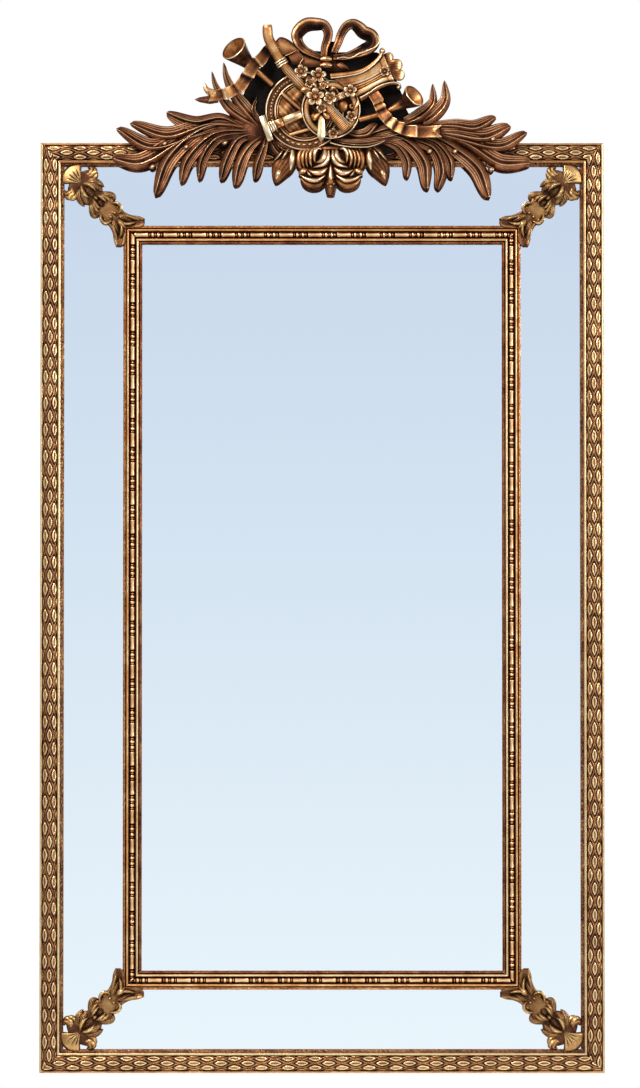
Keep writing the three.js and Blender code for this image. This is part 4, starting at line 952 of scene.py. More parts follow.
def disc(made, centre, radius, foot, top, tone, relief=None):
    """A round plate with a face of many small rings, so that its face can be uneven."""
    rings, lit_and_worn = [], []
    for reach, high in [(radius, foot)] + [(r, top) for r in np.linspace(radius, 0.5, 26)]:
        x, z = round_points(centre, reach, full_turn(96))
        uneven = 0 if relief is None or high == foot else relief(x, z)
        rings.append(np.stack([x, z, high + uneven + 0 * x], axis=1))
        lit_and_worn.append(tone(x, z))
    made.shell(np.array(rings), np.clip(np.array(lit_and_worn), 0, 1))


def panel(made, first, second, profile, foot, under=0.3, stations=48, points=33):
    """A face between two lines; profile gives height and wear, with its painted light and shade, at a share
    across and a share along.
    """
    one, two = smooth_line(first, stations), smooth_line(second, stations)
    v = np.linspace(0, 1, points)[None, :]
    t = np.linspace(0, 1, stations)[:, None]
    height, lit_and_worn = profile(v + 0 * t, t + 0 * v)
    face = one[:, None] * (1 - v[..., None]) + two[:, None] * v[..., None]
    face[..., 2] += foot + height
    inset = 0.03
    back = [one * (1 - s) + two * s + [0, 0, under] for s in (1 - inset, inset)]
    add_relief(made, face, back, lit_and_worn)


def block(made, ends, half_width, foot, height, wear_and_light=0.8, chamfer=0.7):
    """A straight bar with chamfered edges between two places."""
    start, end = np.array(ends[0], float), np.array(ends[1], float)
    along = (end - start) / np.linalg.norm(end - start)
    across = np.array([-along[1], along[0]])
    inner = along * chamfer
    rings = []
    for at, shrink in ((start, chamfer), (start + inner, 0), (end - inner, 0), (end, chamfer)):
        wide, top = half_width - shrink * 0.6, height - shrink
        edge = [(wide, 0), (wide, top - chamfer), (wide - chamfer, top)]
        outline = [(-s, f) for s, f in edge] + [(0, top)] + edge[::-1]
        rings.append([[*(at + across * s), foot + f] for s, f in outline])
    made.shell(np.array(rings), [0.05, wear_and_light * 0.4, wear_and_light, wear_and_light, wear_and_light, wear_and_light * 0.4, 0.05])


PETALS = 5


def flower(made, centre, radius, foot, rise, turn=0.0):
    """A flower whose petals have rolled bright edges round a dark dish, with a pearl for its eye."""
    angle = full_turn(20 * PETALS)
    fold = np.abs(np.cos((angle - turn) * PETALS / 2))
    reach = radius * (0.52 + 0.48 * fold**0.6)
    rings = [np.stack([*round_points(centre, 0.8 * reach, angle), foot + 0 * angle], 1)]
    lit_and_worn = [0.04 + 0 * angle]
    for share in np.linspace(1, 0.02, 20):
        sides = bump_at(fold, 0.42, 0.2) * smooth_step(share, 0.42, 0.6) * smooth_step(share, 1.0, 0.9)
        border = np.maximum(bump_at(share, 0.82, 0.17) * smooth_step(fold, 0.08, 0.32), 0.85 * sides)
        eye = bump_at(share, 0, 0.17)
        gap = 0.35 * (1 - fold) ** 3 * smooth_step(share, 0.25, 0.6)
        edge = smooth_step(share, 1.0, 0.93)
        high = (0.35 + 0.5 * border + 0.55 * eye - gap) * (0.35 + 0.65 * edge)
        high = foot + rise * np.clip(high, 0.05, 1.3)
        rings.append(np.stack([*round_points(centre, share * reach, angle), high], 1))
        dish = 0.56 - 0.46 * bump_at(share, 0.33, 0.14)
        lit_and_worn.append(np.clip(dish + 0.9 * border + 0.95 * eye - 0.8 * (fold < 0.14) * share, 0.02, 1))
    made.shell(np.array(rings), np.array(lit_and_worn))


def trophy_piece(made, node):
    """Makes a gilded piece of the crest from its finished carving."""
    made.build(node, on_crest, TROPHY_GOLD, "old_gold")


# ---------------------------------------------------------------- leaf sprays
# Leaves and upright fangs: line from the root to the tip, half width and, where it differs, gloss.

LEFT_LEAVES = [
    [[[-136, 26], [-179, 45], [-226, 38], [-276, 54]], 14],
    [[[-124, 25], [-196, 34], [-276, 11], [-341, 34]], 14],
    [[[-161, 29], [-226, 12], [-305, -9], [-365, 25]], 14],
    [[[-174, 31], [-246, 5], [-323, -37], [-373, -28]], 16],
    [[[-111, 24], [-201, 30], [-273, -26], [-297, -93]], 15],
    [[[-111, 21], [-191, 17], [-241, -31], [-251, -71]], 12],
    [[[-116, 19], [-186, 9], [-214, -28], [-219, -65]], 10],
    [[[-111, 18], [-149, 7], [-172, -33], [-180, -66]], 11],
    [[[-107, 13], [-134, -11], [-149, -41], [-155, -76]], 12],
    [[[-98, 12], [-107, -14], [-116, -38], [-120, -65]], 9],
    [[[-94, 12], [-86, -8], [-70, -27]], 9],
    [[[-84, 4], [-72, -10], [-54, -17]], 7.5],
]
LEFT_FANGS = [
    [[[-114, 31], [-154, 79], [-171, 116], [-175, 143]], 13, 0.24],
    [[[-116, 28], [-166, 61], [-190, 101], [-196, 127]], 11, 0.16],
    [[[-118, 40], [-124, 60], [-116, 82]], 5.5, 0.1],
]
RIGHT_LEAVES = [
    [[[195, 31], [235, 30], [274, 26], [309, 45]], 12],
    [[[195, 20], [235, 15], [292, 8], [335, 29]], 16],
    [[[190, 21], [245, 6], [319, -8], [364, 18]], 13],
    [[[220, 14], [265, -6], [317, -38], [371, -36]], 15],
    [[[195, 14], [235, -8], [280, -46], [297, -97]], 15],
    [[[170, 12], [205, -1], [228, -31], [230, -63]], 10],
    [[[155, 9], [200, -11], [215, -48], [206, -83]], 12],
    [[[91, 14], [145, 7], [183, -33], [187, -83]], 13],
    [[[106, 4], [135, -6], [153, -33], [151, -62]], 9],
    [[[40, 22], [58, 13], [80, 15], [98, 34]], 10],
    [[[20, 3], [52, -3], [82, -3], [111, 4]], 9.5, 0.14],
    [[[72, 12], [102, 22], [128, 30], [158, 36]], 12, -0.03],
    [[[92, 6], [122, 12], [150, 20], [178, 24]], 10],
    [[[76, 4], [92, -8], [108, -24]], 9],
]
RIGHT_FANGS = [
    [[[180, 34], [203, 49], [221, 74], [218, 111]], 14, 0.08],
    [[[148, 34], [175, 46], [198, 71], [197, 105]], 12.5, 0.08],
]
LEFT_BERRIES = [(-279, -1), (-241, -7), (-172, 0), (-301, -42)]
RIGHT_BERRIES = [(191, -15), (236, -15), (300, -47), (303, 7)]
LEFT_BOSSES = [((-122, 20), (26, 22)), ((-180, 14), (40, 16))]
RIGHT_BOSSES = [((110, 8), (34, 12)), ((180, 18), (44, 16)), ((240, 12), (34, 13))]
SCROLL_EDGE = [(15, 0, 13), (34, -5, 15), (58, -7.5, 16), (82, -7, 16), (98, -2.5, 15), (111, 4, 13)]


def spray(leaves, fangs, berries, bosses, gloss):
    """Curling leaves and upright fangs over the low bosses that they grow from, with small berries."""
    made = Carving()
    stations, points = ((56, 31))
    for outline, group in ((leaf_outline, leaves), (fang_outline, fangs)):
        for line, half_width, *extra in group:
            blade(made, line, half_width, LEAF_RISE, curl=LEAF_CURL, lean=0.3, gloss=gloss + sum(extra),
                  outline=outline, stations=stations, points=points)
    for place in berries:
        dome(made, place, (6.4, 4.6), 16, wear_and_light=1.05, tilt=0.5)
    for place, size in bosses:
        dome(made, place, size, 6.5, wear_and_light=0.25, sides=40)
    return made


left_spray = spray(LEFT_LEAVES, LEFT_FANGS, LEFT_BERRIES, LEFT_BOSSES, 0.0)
left_spray.build("leaf_spray_left", on_crest, CREST_BRONZE, "bronze_gilt")
right_spray = spray(RIGHT_LEAVES, RIGHT_FANGS, RIGHT_BERRIES, RIGHT_BOSSES, 0.08)
tube(right_spray, SCROLL_EDGE, lambda t: (1.5 - 0.6 * t, 2.5), stations=50, sides=12, wear_and_light=0.8)
right_spray.build("leaf_spray_right", on_crest, CREST_BRONZE, "bronze_gilt")

# ---------------------------------------------------------------- tambourine

PEARL_CIRCLE = 60
PEARL_PITCH = ([105, 195, 240, 330, 380, 465], [5.7, 6.2, 10.2, 11.2, 8.0, 5.7])  # by degrees round the rim
INNER_RIM = 47.5
# Section of the rim: [radius, forward, wear with the painted highlights along its rolls].
RIM_SECTION = [
    (70, SEAT, 0.05), (70, 6.4, 0.3), (69.5, 8.3, 0.8), (68.3, 9.0, 1.0), (67.1, 8.3, 0.65),
    (66.4, 6.2, 0.12), (65.4, 5.4, 0.3), (62.5, 5.0, 0.4), (58, 5.0, 0.42), (56.6, 5.2, 0.3),
    (56.0, 4.6, 0.08), (55.1, 4.8, 0.08), (54.0, 6.8, 0.5), (52.9, 8.4, 0.85), (52.2, 8.7, 0.85),
    (51.2, 8.0, 0.55), (50.6, 6.4, 0.1), (49.6, 5.6, 0.08), (48.6, 6.6, 0.6), (INNER_RIM, 5.6, 0.3),
    (INNER_RIM, SEAT, 0.05),
]
# Middle and radii of the rubbed patches.
SKIN_PATCHES = [((-50, 87), (11, 14)), ((-67, 60), (12, 15)), ((-54, 33), (15, 9)), ((-30, 106), (12, 6))]
# Line, half thickness [across, forward], wear, and how sharp the light along the top is.
STICKS = [
    ([(-72, 89, 6.0), (-41, 62, 6.0), (-14, 40, 6.0)], (3.6, 3.4), 0.35, 1.5),
    ([(-58, 14, 5.5), (-38, 20, 5.5), (-12, 27, 5.5)], (3.0, 2.6), 0.4, 2.0),
]


def tambourine_frame():
    """The turned rim with its run of pearls, which grow and shrink round it."""
    made = Carving()
    turned_ring(made, RIM_SECTION, DRUM_CENTRE)
    degrees = PEARL_PITCH[0][0]
    while degrees < PEARL_PITCH[0][-1] - 3:
        pitch = np.interp(degrees, *PEARL_PITCH)
        angle = math.radians(degrees)
        place = round_points(DRUM_CENTRE, PEARL_CIRCLE, angle)
        dome(made, place, (1.9, 0.39 * pitch), 4.2, foot=4.8, stations=6, sides=12, wear_and_light=1.7, tilt=angle)
        degrees += math.degrees(pitch / PEARL_CIRCLE)
    trophy_piece(made, "tambourine_frame")


def skin_swell(x, z):
    """The unevenness of the stretched skin."""
    return 0.9 * np.sin(x * 0.31 + 1) * np.cos(z * 0.29) + 0.5 * np.sin(x * 0.63 + z * 0.57)


def skin_tone(x, z):
    """The skin is dark, with four rubbed patches."""
    patches = 0
    for (px, pz), (rx, rz) in SKIN_PATCHES:
        patches = patches + bump_at(np.hypot((x - px) / rx, (z - pz) / rz), 0, 0.95)
    return 0.12 + 0.5 * np.clip(1.4 * patches, 0, 1) + 0.1 * skin_swell(x, z)


def tambourine_skin():
    """The skin, with two sticks that lie on it."""
    made = Carving()
    disc(made, DRUM_CENTRE, INNER_RIM - SEAT, SEAT, DRUM_SKIN, skin_tone, relief=skin_swell)
    for line, radii, wear_and_light, sharp in STICKS:
        tube(made, line, lambda t, radii=radii: radii, wear_and_light=wear_and_light, shine=0.4, sharp=sharp)
    trophy_piece(made, "tambourine_skin")


tambourine_frame()
tambourine_skin()

# ---------------------------------------------------------------- flowered ring

# Middle, radius, turn, and how much higher than the ring's face it sits.
RING_FLOWERS = [((50, 92.5), 12.5, 0.3, 4.5), ((52, 47.5), 10.5, 0.9, -2.0), ((20, 17), 10, 0.2, -2.0)]
RING_PLATE = [(6, 24), (26, 18), (46, 28), (58, 46), (60, 64)]
RING_BAND = [(10, 107), (24, 105), (40, 99)]
RING_SCROLLS = [
    ([(60, 84), (64, 74), (60, 64), (55, 58)], 3.4),
    ([(58, 66), (52, 62), (50, 66), (54, 69)], 2.2),
]


def flowered_ring():
    """The wreath's ring with the flowers that lie on it."""
    foot, top = WREATH_FOOT, WREATH_FOOT + WREATH_RISE
    outside, inside = WREATH_RADIUS, WREATH_RADIUS - WREATH_WIDTH
    section = [
        (outside, foot, 0.05), (outside, top - 1.8, 0.4), (outside - 0.6, top - 0.4, 0.85),
        (outside - 1.5, top, 1.0), (outside - 2.4, top - 0.5, 0.8), (outside - 2.9, top - 2.4, 0.12),
        (outside - 4, top - 2.9, 0.2), (outside - 6, top - 2.0, 0.62), (outside - 9.5, top - 1.8, 0.66),
        (inside + 1.2, top - 2.4, 0.5), (inside, top - 4, 0.15), (inside, foot, 0.05),
    ]
    made = Carving()
    turned_ring(made, section, WREATH_CENTRE)
    # the plates that fill the ring, and the scrolls on its right side
    flat = {"outline": even_outline, "profile": petal_profile}
    blade(made, RING_BAND, 5.0, 3.5, foot=foot, gloss=0.2, **flat)
    dome(made, (37, 65), (10, 11), 5.5, foot=foot, wear_and_light=0.6)
    dome(made, (-12, 46), (8.5, 8), 5, foot=foot, wear_and_light=0.36)
    disc(made, (34, 57), 33, SEAT, 3.0, lambda x, z: 0.2 + 0.06 * np.sin(x * 0.4) * np.cos(z * 0.5))
    blade(made, RING_PLATE, 9, 2.6, foot=foot - 0.2, gloss=-0.2, **flat)
    for line, half_width in RING_SCROLLS:
        blade(made, line, half_width, 6, foot=foot + 2, profile=petal_profile, gloss=0.1)
    for place, radius, turn, lift in RING_FLOWERS:
        flower(made, place, radius, top + lift, 5, turn=turn)
    trophy_piece(made, "wreath_ring")


flowered_ring()

# ---------------------------------------------------------------- lyre

LYRE_UPPER = [(15, 118.5), (49, 122.5), (71, 128), (86, 137), (100, 150), (107, 162)]
LYRE_LOWER = [(68, 77.5), (76, 82), (86, 88), (100, 98), (115, 104), (130, 105)]
# Lobes of the shell: line and half width.
LYRE_SHELL = [
    ([(102, 145), (113, 151), (127, 154)], 10),
    ([(110, 127), (130, 122), (147, 118)], 12.5),
    ([(108, 134), (126, 138), (143, 138.5)], 13),
    ([(108, 118), (116, 113), (123, 109)], 6.5),
]
LYRE_SCROLL = [(130, 106), (137, 103), (138, 98), (134, 96)]
NECK_ANGLE = math.radians(23)
NECK_ROOT = np.array([-93.5, 27.5])
PLATE_AT = 19  # along the neck from its root
SHAFT = (27, 62)
NECK_RINGS = [(1.5, 10.5, 3.6), (6.0, 9.6, 3.4), (10.0, 8.8, 3.2)]  # distance along, half width, thickness
scallop_outline = widening_outline(0.55, 0.6)


def lyre_face(v, t):
    """The lyre's belly: a smooth plate under the upper arm, three strings, and a fillet below."""
    gaps = bump_at(v, 0.50, 0.022) + bump_at(v, 0.59, 0.022) + bump_at(v, 0.68, 0.024)
    ends = bump_at(v, 0.05, 0.035) + bump_at(v, 0.92, 0.03)
    height = 3.2 - 1.5 * gaps - 1.6 * ends + 0.8 * bump_at(v, 0.8, 0.07)
    lit_and_worn = 0.7 + 0.06 * np.sin(v * 47) - 0.52 * gaps - 0.5 * ends
    lit_and_worn = lit_and_worn + 0.35 * bump_at(v, 0.8, 0.05) + 0.3 * bump_at(v, 0.44, 0.03)
    lit_and_worn = lit_and_worn - 0.35 * smooth_step(t, 0.3, 0.05) - 0.55 * bump_at(t, 0.87, 0.02)
    return height, lit_and_worn


def lyre_arm(made, line, half_widths, offset, wear_and_light):
    """A curved arm with a bright line along one edge, `offset` from its middle."""
    arm = [(*p, LYRE_FOOT + 2.6) for p in line]
    tube(made, arm, lambda t: (np.interp(t, [0, 1], half_widths), 3.4), wear_and_light=wear_and_light, shine=0.15, stations=60)
    edge = []
    for (x, z), share in zip(line, np.linspace(1.0, 0.25, len(line))):
        edge.append((x + offset[0] * share, z + offset[1] * share, LYRE_FOOT + 5.2))
    tube(made, edge, lambda t: (1.25, 1.5), wear_and_light=0.85, shine=0.15, stations=60, sides=12)


def lyre_neck(made):
    """The head, the rings, the square plate with its ball, and the neck."""
    axis = np.array([math.cos(NECK_ANGLE), math.sin(NECK_ANGLE)])
    side = np.array([-axis[1], axis[0]])
    block(made, [(-107, 48), (-91, 4)], 5.4, WREATH_FOOT, 12, wear_and_light=0.86)
    for along, wide, thick in NECK_RINGS:
        middle = NECK_ROOT + axis * along
        block(made, [middle - side * wide, middle + side * wide], thick / 2 + 0.3, WREATH_FOOT, 9.5)
    plate = NECK_ROOT + axis * PLATE_AT
    block(made, [plate - axis * 7, plate + axis * 7], 7.4, WREATH_FOOT, 6.8, wear_and_light=0.55)
    block(made, [plate - axis * 5, plate + axis * 5], 5.2, WREATH_FOOT + 6.2, 1.6, wear_and_light=0.4)
    dome(made, plate, (2.4, 2.4), 3.2, foot=WREATH_FOOT + 7.4, wear_and_light=1.0)
    start, end = (NECK_ROOT + axis * at for at in SHAFT)
    block(made, [start, end], 7.0, WREATH_FOOT, 6.4, wear_and_light=0.5)
    block(made, [start + side * 1.2 + axis, end + side * 1.2], 3.0, WREATH_FOOT + 5.8, 1.8, wear_and_light=0.85)


def lyre():
    """The belly between two arms, the shell with its flower, the neck and the string holder."""
    made = Carving()
    panel(made, LYRE_UPPER, LYRE_LOWER, lyre_face, LYRE_FOOT - 1.5)
    lyre_arm(made, LYRE_UPPER, (5.0, 3.0), (1.0, -3.2), 0.34)
    lyre_arm(made, LYRE_LOWER[:-1] + LYRE_SCROLL, (4.4, 2.6), (-0.8, 2.6), 0.16)
    dome(made, (107, 163.5), (5.6, 5.6), 10, foot=LYRE_FOOT, wear_and_light=0.95)
    dome(made, (136, 99), (4.2, 4.2), 9.5, foot=LYRE_FOOT, wear_and_light=0.95)
    for line, half in LYRE_SHELL:
        blade(made, line, half, 9.5, foot=LYRE_FOOT - 8, profile=scallop_profile, outline=scallop_outline)
    dome(made, (111, 128), (13, 20), 7, foot=LYRE_FOOT - 5, wear_and_light=0.4, sides=36)
    flower(made, (111, 127), 9.5, LYRE_FOOT + 1, 5.5, turn=0.5)
    lyre_neck(made)
    # the string holder and its four strings
    block(made, [(24, 79), (46, 89)], 5.8, LYRE_FOOT - 2, 5, wear_and_light=0.42)
    for offset in (-3.6, -1.2, 1.2, 3.6):
        ends = [(x - 0.42 * offset, z + 0.9 * offset) for x, z in ((22, 78), (48, 90))]
        block(made, ends, 0.7, LYRE_FOOT + 2, 2, wear_and_light=0.78, chamfer=0.3)
    trophy_piece(made, "lyre")


lyre()

# ---------------------------------------------------------------- trumpet, horn and curved pipe

BELL_WALL = 2.2


def flared_tube(name, line, bell, tube_radius, flare, curve):
    """A tube that opens into a bell at the start of its line; `flare` is the share that opens."""
    stations, angle = 60, full_turn(48)
    path = smooth_line(line, stations)
    along, across, ahead = round_frame(path)
    t = np.linspace(0, 1, stations)
    radius = tube_radius + (bell - tube_radius) * np.clip(1 - t / flare, 0, 1) ** curve
    front = np.sin(angle)

    def ring(i, r, slide=0.0):
        centre = path[i] - along[i] * slide
        return centre + np.cos(angle)[:, None] * across[i] * r + front[:, None] * ahead[i] * r

    streaks = 0.05 * np.sin(angle * 7)
    # painted highlight: the outside is lit on its front towards the neck, and the lip on its front
    glow = 0.5 * smooth_step(t, flare * 0.4, flare * 0.75)
    outside = range(stations - 1, 0, -1)
    rings = [ring(i, radius[i]) for i in outside]
    lit_and_worn = [0.1 + glow[i] * np.clip(front, 0, 1) ** 2 + streaks for i in outside]
    lip = ((bell - 0.4, 0.4), (bell, 1.4), (bell - 0.8, 2.6), (bell - BELL_WALL, 2.2))
    rings += [ring(0, r, slide) for r, slide in lip]
    lit_and_worn += [0.12 + 0 * front, 0.3 + 0.6 * front, 0.45 + 0.6 * front, 0.35 + 0.5 * front]
    # painted shade: the inside grows darker deeper into the bell and on its front side
    depth = int(stations * flare * 0.8)
    for i in range(1, depth):
        rings.append(ring(i, max(radius[i] - BELL_WALL, 1.0)))
        lit_and_worn.append(0.7 - 0.45 * i / depth - 0.3 * np.clip(front, 0, 1) + 1.6 * streaks)
    made = Carving().shell(np.array(rings), np.clip(np.array(lit_and_worn), 0, 1))
    trophy_piece(made, name)


TRUMPET_LINE = [
    (-155.5, 167, 34), (-150, 161, 29), (-143, 154, 23), (-130, 141.5, 17), (-110, 123, 14.6),
    (-88, 103, 14.6),
]
HORN_LINE = [
    (162.5, 83, 29), (157, 78.5, 25), (149, 73.5, 20), (134, 65.5, 16), (108, 53, 14.6), (66, 41, 14.6),
]
flared_tube("trumpet", TRUMPET_LINE, 24.5, 5.2, 0.72, 1.3)
flared_tube("horn", HORN_LINE, 21.5, 4.8, 0.5, 1.5)

PIPE_LINE = [(-97, 210), (-95, 187), (-80, 157), (-66, 135), (-29, 96), (11, 61), (43, 26)]
COLLAR_AT = 0.305
COLLAR_HALF = 6.6
PIPE_HATCHES = 76
HATCHED_FROM = (0.62, 0.66)
PIPE_WIDE = ([0, 0.02, 0.05, 0.25, 0.33, 0.62, 0.66, 1.0], [7.0, 8.4, 8.8, 8.4, 7.6, 7.4, 9.4, 9.8])
PIPE_DEEP = ([0, 0.02, 0.3, 1.0], [3.5, 5.0, 5.0, 4.6])
PIPE_EDGE = [(5, 79), (27, 57), (48, 35)]


def pipe_hatching(t):
    """Whether the pipe is hatched here, and how high the ridge stands."""
    return smooth_step(t, *HATCHED_FROM), 0.5 + 0.5 * np.cos(t * 2 * np.pi * PIPE_HATCHES)


def pipe_radius(t):
    """Half thickness of the pipe, [across, forward], with the ridges of its hatched end."""
    hatched, ridge = pipe_hatching(t)
    ribs = 0.35 * ridge * hatched
    return np.interp(t, *PIPE_WIDE) + ribs, np.interp(t, *PIPE_DEEP) + ribs


def pipe_flutes(angle, t):
    """Fine flutes on the upper length, and broad ones below the collar."""
    lower = smooth_step(t, 0.34, 0.38) * smooth_step(t, 0.66, 0.62)
    return 1 + 0.03 * np.cos(angle * 22) * smooth_step(t, 0.38, 0.34) + 0.07 * np.cos(angle * 12) * lower


def pipe_tone(t):
    """Slow bands on the plain length, and dark grooves between the ridges."""
    hatched, ridge = pipe_hatching(t)
    return -0.12 * (0.5 + 0.5 * np.sin(t * 61)) * (1 - hatched) - 0.34 * hatched * (1 - ridge)


def collar_wave(t):
    """The collar's three round ribs."""
    return np.sqrt(np.abs(np.sin(3 * np.pi * t)))


def curved_pipe():
    """The long pipe that crosses the crest, with its collar."""
    lift = PIPE_FOOT + 5
    made = Carving()
    line = [(*p, lift) for p in PIPE_LINE]
    tube(made, line, pipe_radius, stations=460, sides=64, wear_and_light=0.4, shine=0.3,
         flutes=pipe_flutes, tone=pipe_tone)
    path = smooth_line(line, 200)
    at = int(200 * COLLAR_AT)
    reach = directions(path)[at] * COLLAR_HALF
    tube(made, [path[at] - reach, path[at], path[at] + reach],
         lambda t: (7.6 + 3.4 * collar_wave(t), 4.8 + 2.2 * collar_wave(t)),
         stations=49, sides=40, wear_and_light=0.1, shine=0.2, tone=lambda t: 0.75 * collar_wave(t) ** 2)
    # the bright lines along the hatched length's upper edge
    for shift in (0.0, 2.6):
        edge = [(x - shift * 0.7, z - shift * 0.7, lift + 3.8 + shift * 0.3) for x, z in PIPE_EDGE]
        tube(made, edge, lambda t: (0.75, 0.8), wear_and_light=0.85, stations=20, sides=8)
    trophy_piece(made, "curved_pipe")


curved_pipe()

# ---------------------------------------------------------------- flowers on the pipe

# Middle, radius, turn, and how much lower than the cluster's foot it sits.
CLUSTER = [
    ((-37, 127), 13, 0.5, 6), ((-7, 120), 15, 0.2, 6), ((-12, 82), 17, 0.31, 0), ((14, 80), 12.5, 0.9, 0),
    ((-1, 62), 9.5, 0.6, 0), ((-22, 106), 9, 1.1, 0), ((4, 104), 9, 0.7, 0),
]
# Line and half width.
CLUSTER_LEAVES = [
    ([(-20, 94), (-27, 97), (-38, 92)], 4.5),
    ([(-6, 96), (0, 102), (4, 112)], 4.5),
    ([(-3, 94), (4, 100), (10, 110)], 4),
    ([(-10, 98), (-18, 108), (-28, 110)], 4),
    ([(-3, 54), (-9, 49), (-15, 40)], 4),
    ([(2, 54), (8, 48), (14, 44)], 4.5),
    ([(14, 92), (20, 98), (24, 96)], 3.5),
]
HANGING_LEAF = [(-1, 48), (-1, 30), (-1.8, 1.5)]
sword_outline = outline_by([0, 0.12, 0.7, 0.8, 1.0], [0.6, 0.75, 1.0, 0.95, 0.04])


def flower_cluster():
    """The flowers and leaves on the pipe, and the pointed leaf that hangs below them."""
    made = Carving()
    blade(made, HANGING_LEAF, 7.2, 5, foot=CLUSTER_FOOT - 6, profile=sword_profile,
          outline=sword_outline, swell=lambda t: 0.9, gloss=0.25)
    for line, half in CLUSTER_LEAVES:
        blade(made, line, half, 5, foot=CLUSTER_FOOT - 2, profile=petal_profile, gloss=0.1,
              stations=20, points=15)
    for place, radius, turn, lower in CLUSTER:
        flower(made, place, radius, CLUSTER_FOOT - lower, 6, turn=turn)
    dome(made, (-16, 96), (13, 26), 6, foot=CLUSTER_FOOT - 6, wear_and_light=0.25, tilt=0.4)
    trophy_piece(made, "flower_cluster")


flower_cluster()

# ---------------------------------------------------------------- ribbons

TAIL_NOTCH = 0.86  # share of a ribbon's length where its swallow tail starts
prong_outline = outline_by([0, 0.35, 0.8, 1], [0.85, 1.0, 0.55, 0.06])


def ribbon_piece(made, node):
    """Makes a piece of ribbon from its finished carving."""
    made.build(node, on_crest, RIBBON_GOLD, "bronze_gilt")


def folded_ribbon(line, crests, half_widths, drop, glosses, notch):
    """A ribbon in soft folds whose crests are at shares of its length; each rises slowly and falls fast.

    The half widths are those of its start, middle and end, and each fold has a gloss that paints it brighter
    or darker.
    """
    stations = 150
    path = smooth_line(line, stations)
    along = directions(path * [1, 1, 0])
    across = flat_across(along)
    t = np.linspace(0, 1, stations)
    marks = [-0.12, *crests, 1.12]
    place = np.interp(t, marks, np.arange(len(marks)))
    phase = place % 1
    rise = softened(smooth_step(phase, 0.1, 0.96) * (1 - smooth_step(phase, 0.97, 1.0)), 2)
    v = np.linspace(-1, 1, 17)[None, :]
    wide = np.interp(t, [0, 0.5, 1], half_widths) * (1 + 0.12 * (rise - 0.5))
    aside = v * wide[:, None] + 1.8 * (rise - 0.5)[:, None]
    face = path[:, None, :] + across[:, None, :] * aside[..., None]
    face[..., 2] += (drop * rise)[:, None] + 1.0 * np.abs(v) ** 4
    ending = smooth_step(t, TAIL_NOTCH, 1.0)[:, None]
    face -= along[:, None, :] * (ending * (1 - np.abs(v)) * notch)[..., None]
    back = face[:, ::-1] - [0, 0, 2.6]
    gloss = np.array(glosses)[np.minimum(place.astype(int), len(glosses) - 1)]
    # painted light: each fold is lit as it rises to its crest and shaded past it
    shine = 0.14 + 0.4 * smooth_step(phase, 0.08, 0.5) + 0.42 * smooth_step(phase, 0.8, 0.97) + gloss
    lit_and_worn = softened(shine, 1)[:, None] + 0.22 * np.abs(v) ** 10 - 0.1 * bump_at(v, 0.3, 0.3)
    lit_and_worn = np.concatenate([lit_and_worn, 0.05 + 0 * lit_and_worn], axis=1)
    return Carving().shell(np.concatenate([face, back], axis=1), np.clip(lit_and_worn, 0, 1))


LEFT_RIBBON = [
    (-80, 178, 10), (-90, 171, 13), (-107, 150, 22), (-120, 138.5, 27), (-130.5, 123, 29), (-138.5, 109, 26),
    (-152, 95.5, 23), (-171, 88, 20), (-187, 84, 19), (-202, 83.5, 19),
]
RIGHT_RIBBON = [
    (91, 88, 20), (96.5, 78, 23), (103, 64, 23), (111, 48.5, 22), (126, 34, 20), (143, 25, 19),
    (161, 20.5, 18), (181, 20, 19), (213, 20.5, 20),
]
# Folds: their two edges, foot and brightness.
LEFT_FOLDS = [
    ([(-86, 176), (-75, 188), (-62, 185), (-40, 168)],
     [(-84, 160), (-70, 157), (-60, 158), (-40, 160)], 9, 0.4),
    ([(-62, 158), (-52, 163), (-44, 164)], [(-52, 140), (-42, 138), (-30, 146)], 8, 0.16),
    ([(-46, 166), (-28, 158), (-2, 150)], [(-40, 136), (-20, 134), (0, 136)], 6, 0.2),
]
LEFT_FOLD_EDGES = [
    [(-66, 155, 10.5), (-58, 158, 11), (-45.5, 164.5, 10.5)],
    [(-42.8, 163, 9.5), (-34, 151, 9.5), (-40, 140, 9)],
]
RIGHT_FOLDS = [
    ([(4, 150), (7, 165), (11, 181)], [(24, 150), (28, 165), (30, 179)], 5, 0.02),
    ([(10, 150), (22, 146), (34, 142)], [(8, 128), (24, 126), (46, 128)], 6, 0.2),
    ([(26, 140), (34, 143), (44, 137)], [(34, 130), (40, 131), (50, 127)], 9, 0.5),
]
# Line, half width, foot and gloss.
LEFT_PRONGS = [
    ([(-188, 88), (-200, 91), (-206, 97), (-208, 107)], 6.6, 17, 0.3),
    ([(-184, 78), (-204, 76.5), (-226, 77)], 8.0, 15, -0.16),
]
LEFT_CRESTS = (0.12, 0.32, 0.5, 0.68, 0.84)
LEFT_GLOSSES = (-0.04, -0.1, 0.02, -0.08, 0.18, 0.16)
RIGHT_CRESTS = (0.13, 0.2, 0.34, 0.44, 0.55, 0.72)
RIGHT_GLOSSES = (-0.12, 0.05, -0.05, 0.1, 0.0, 0.04, 0.14)


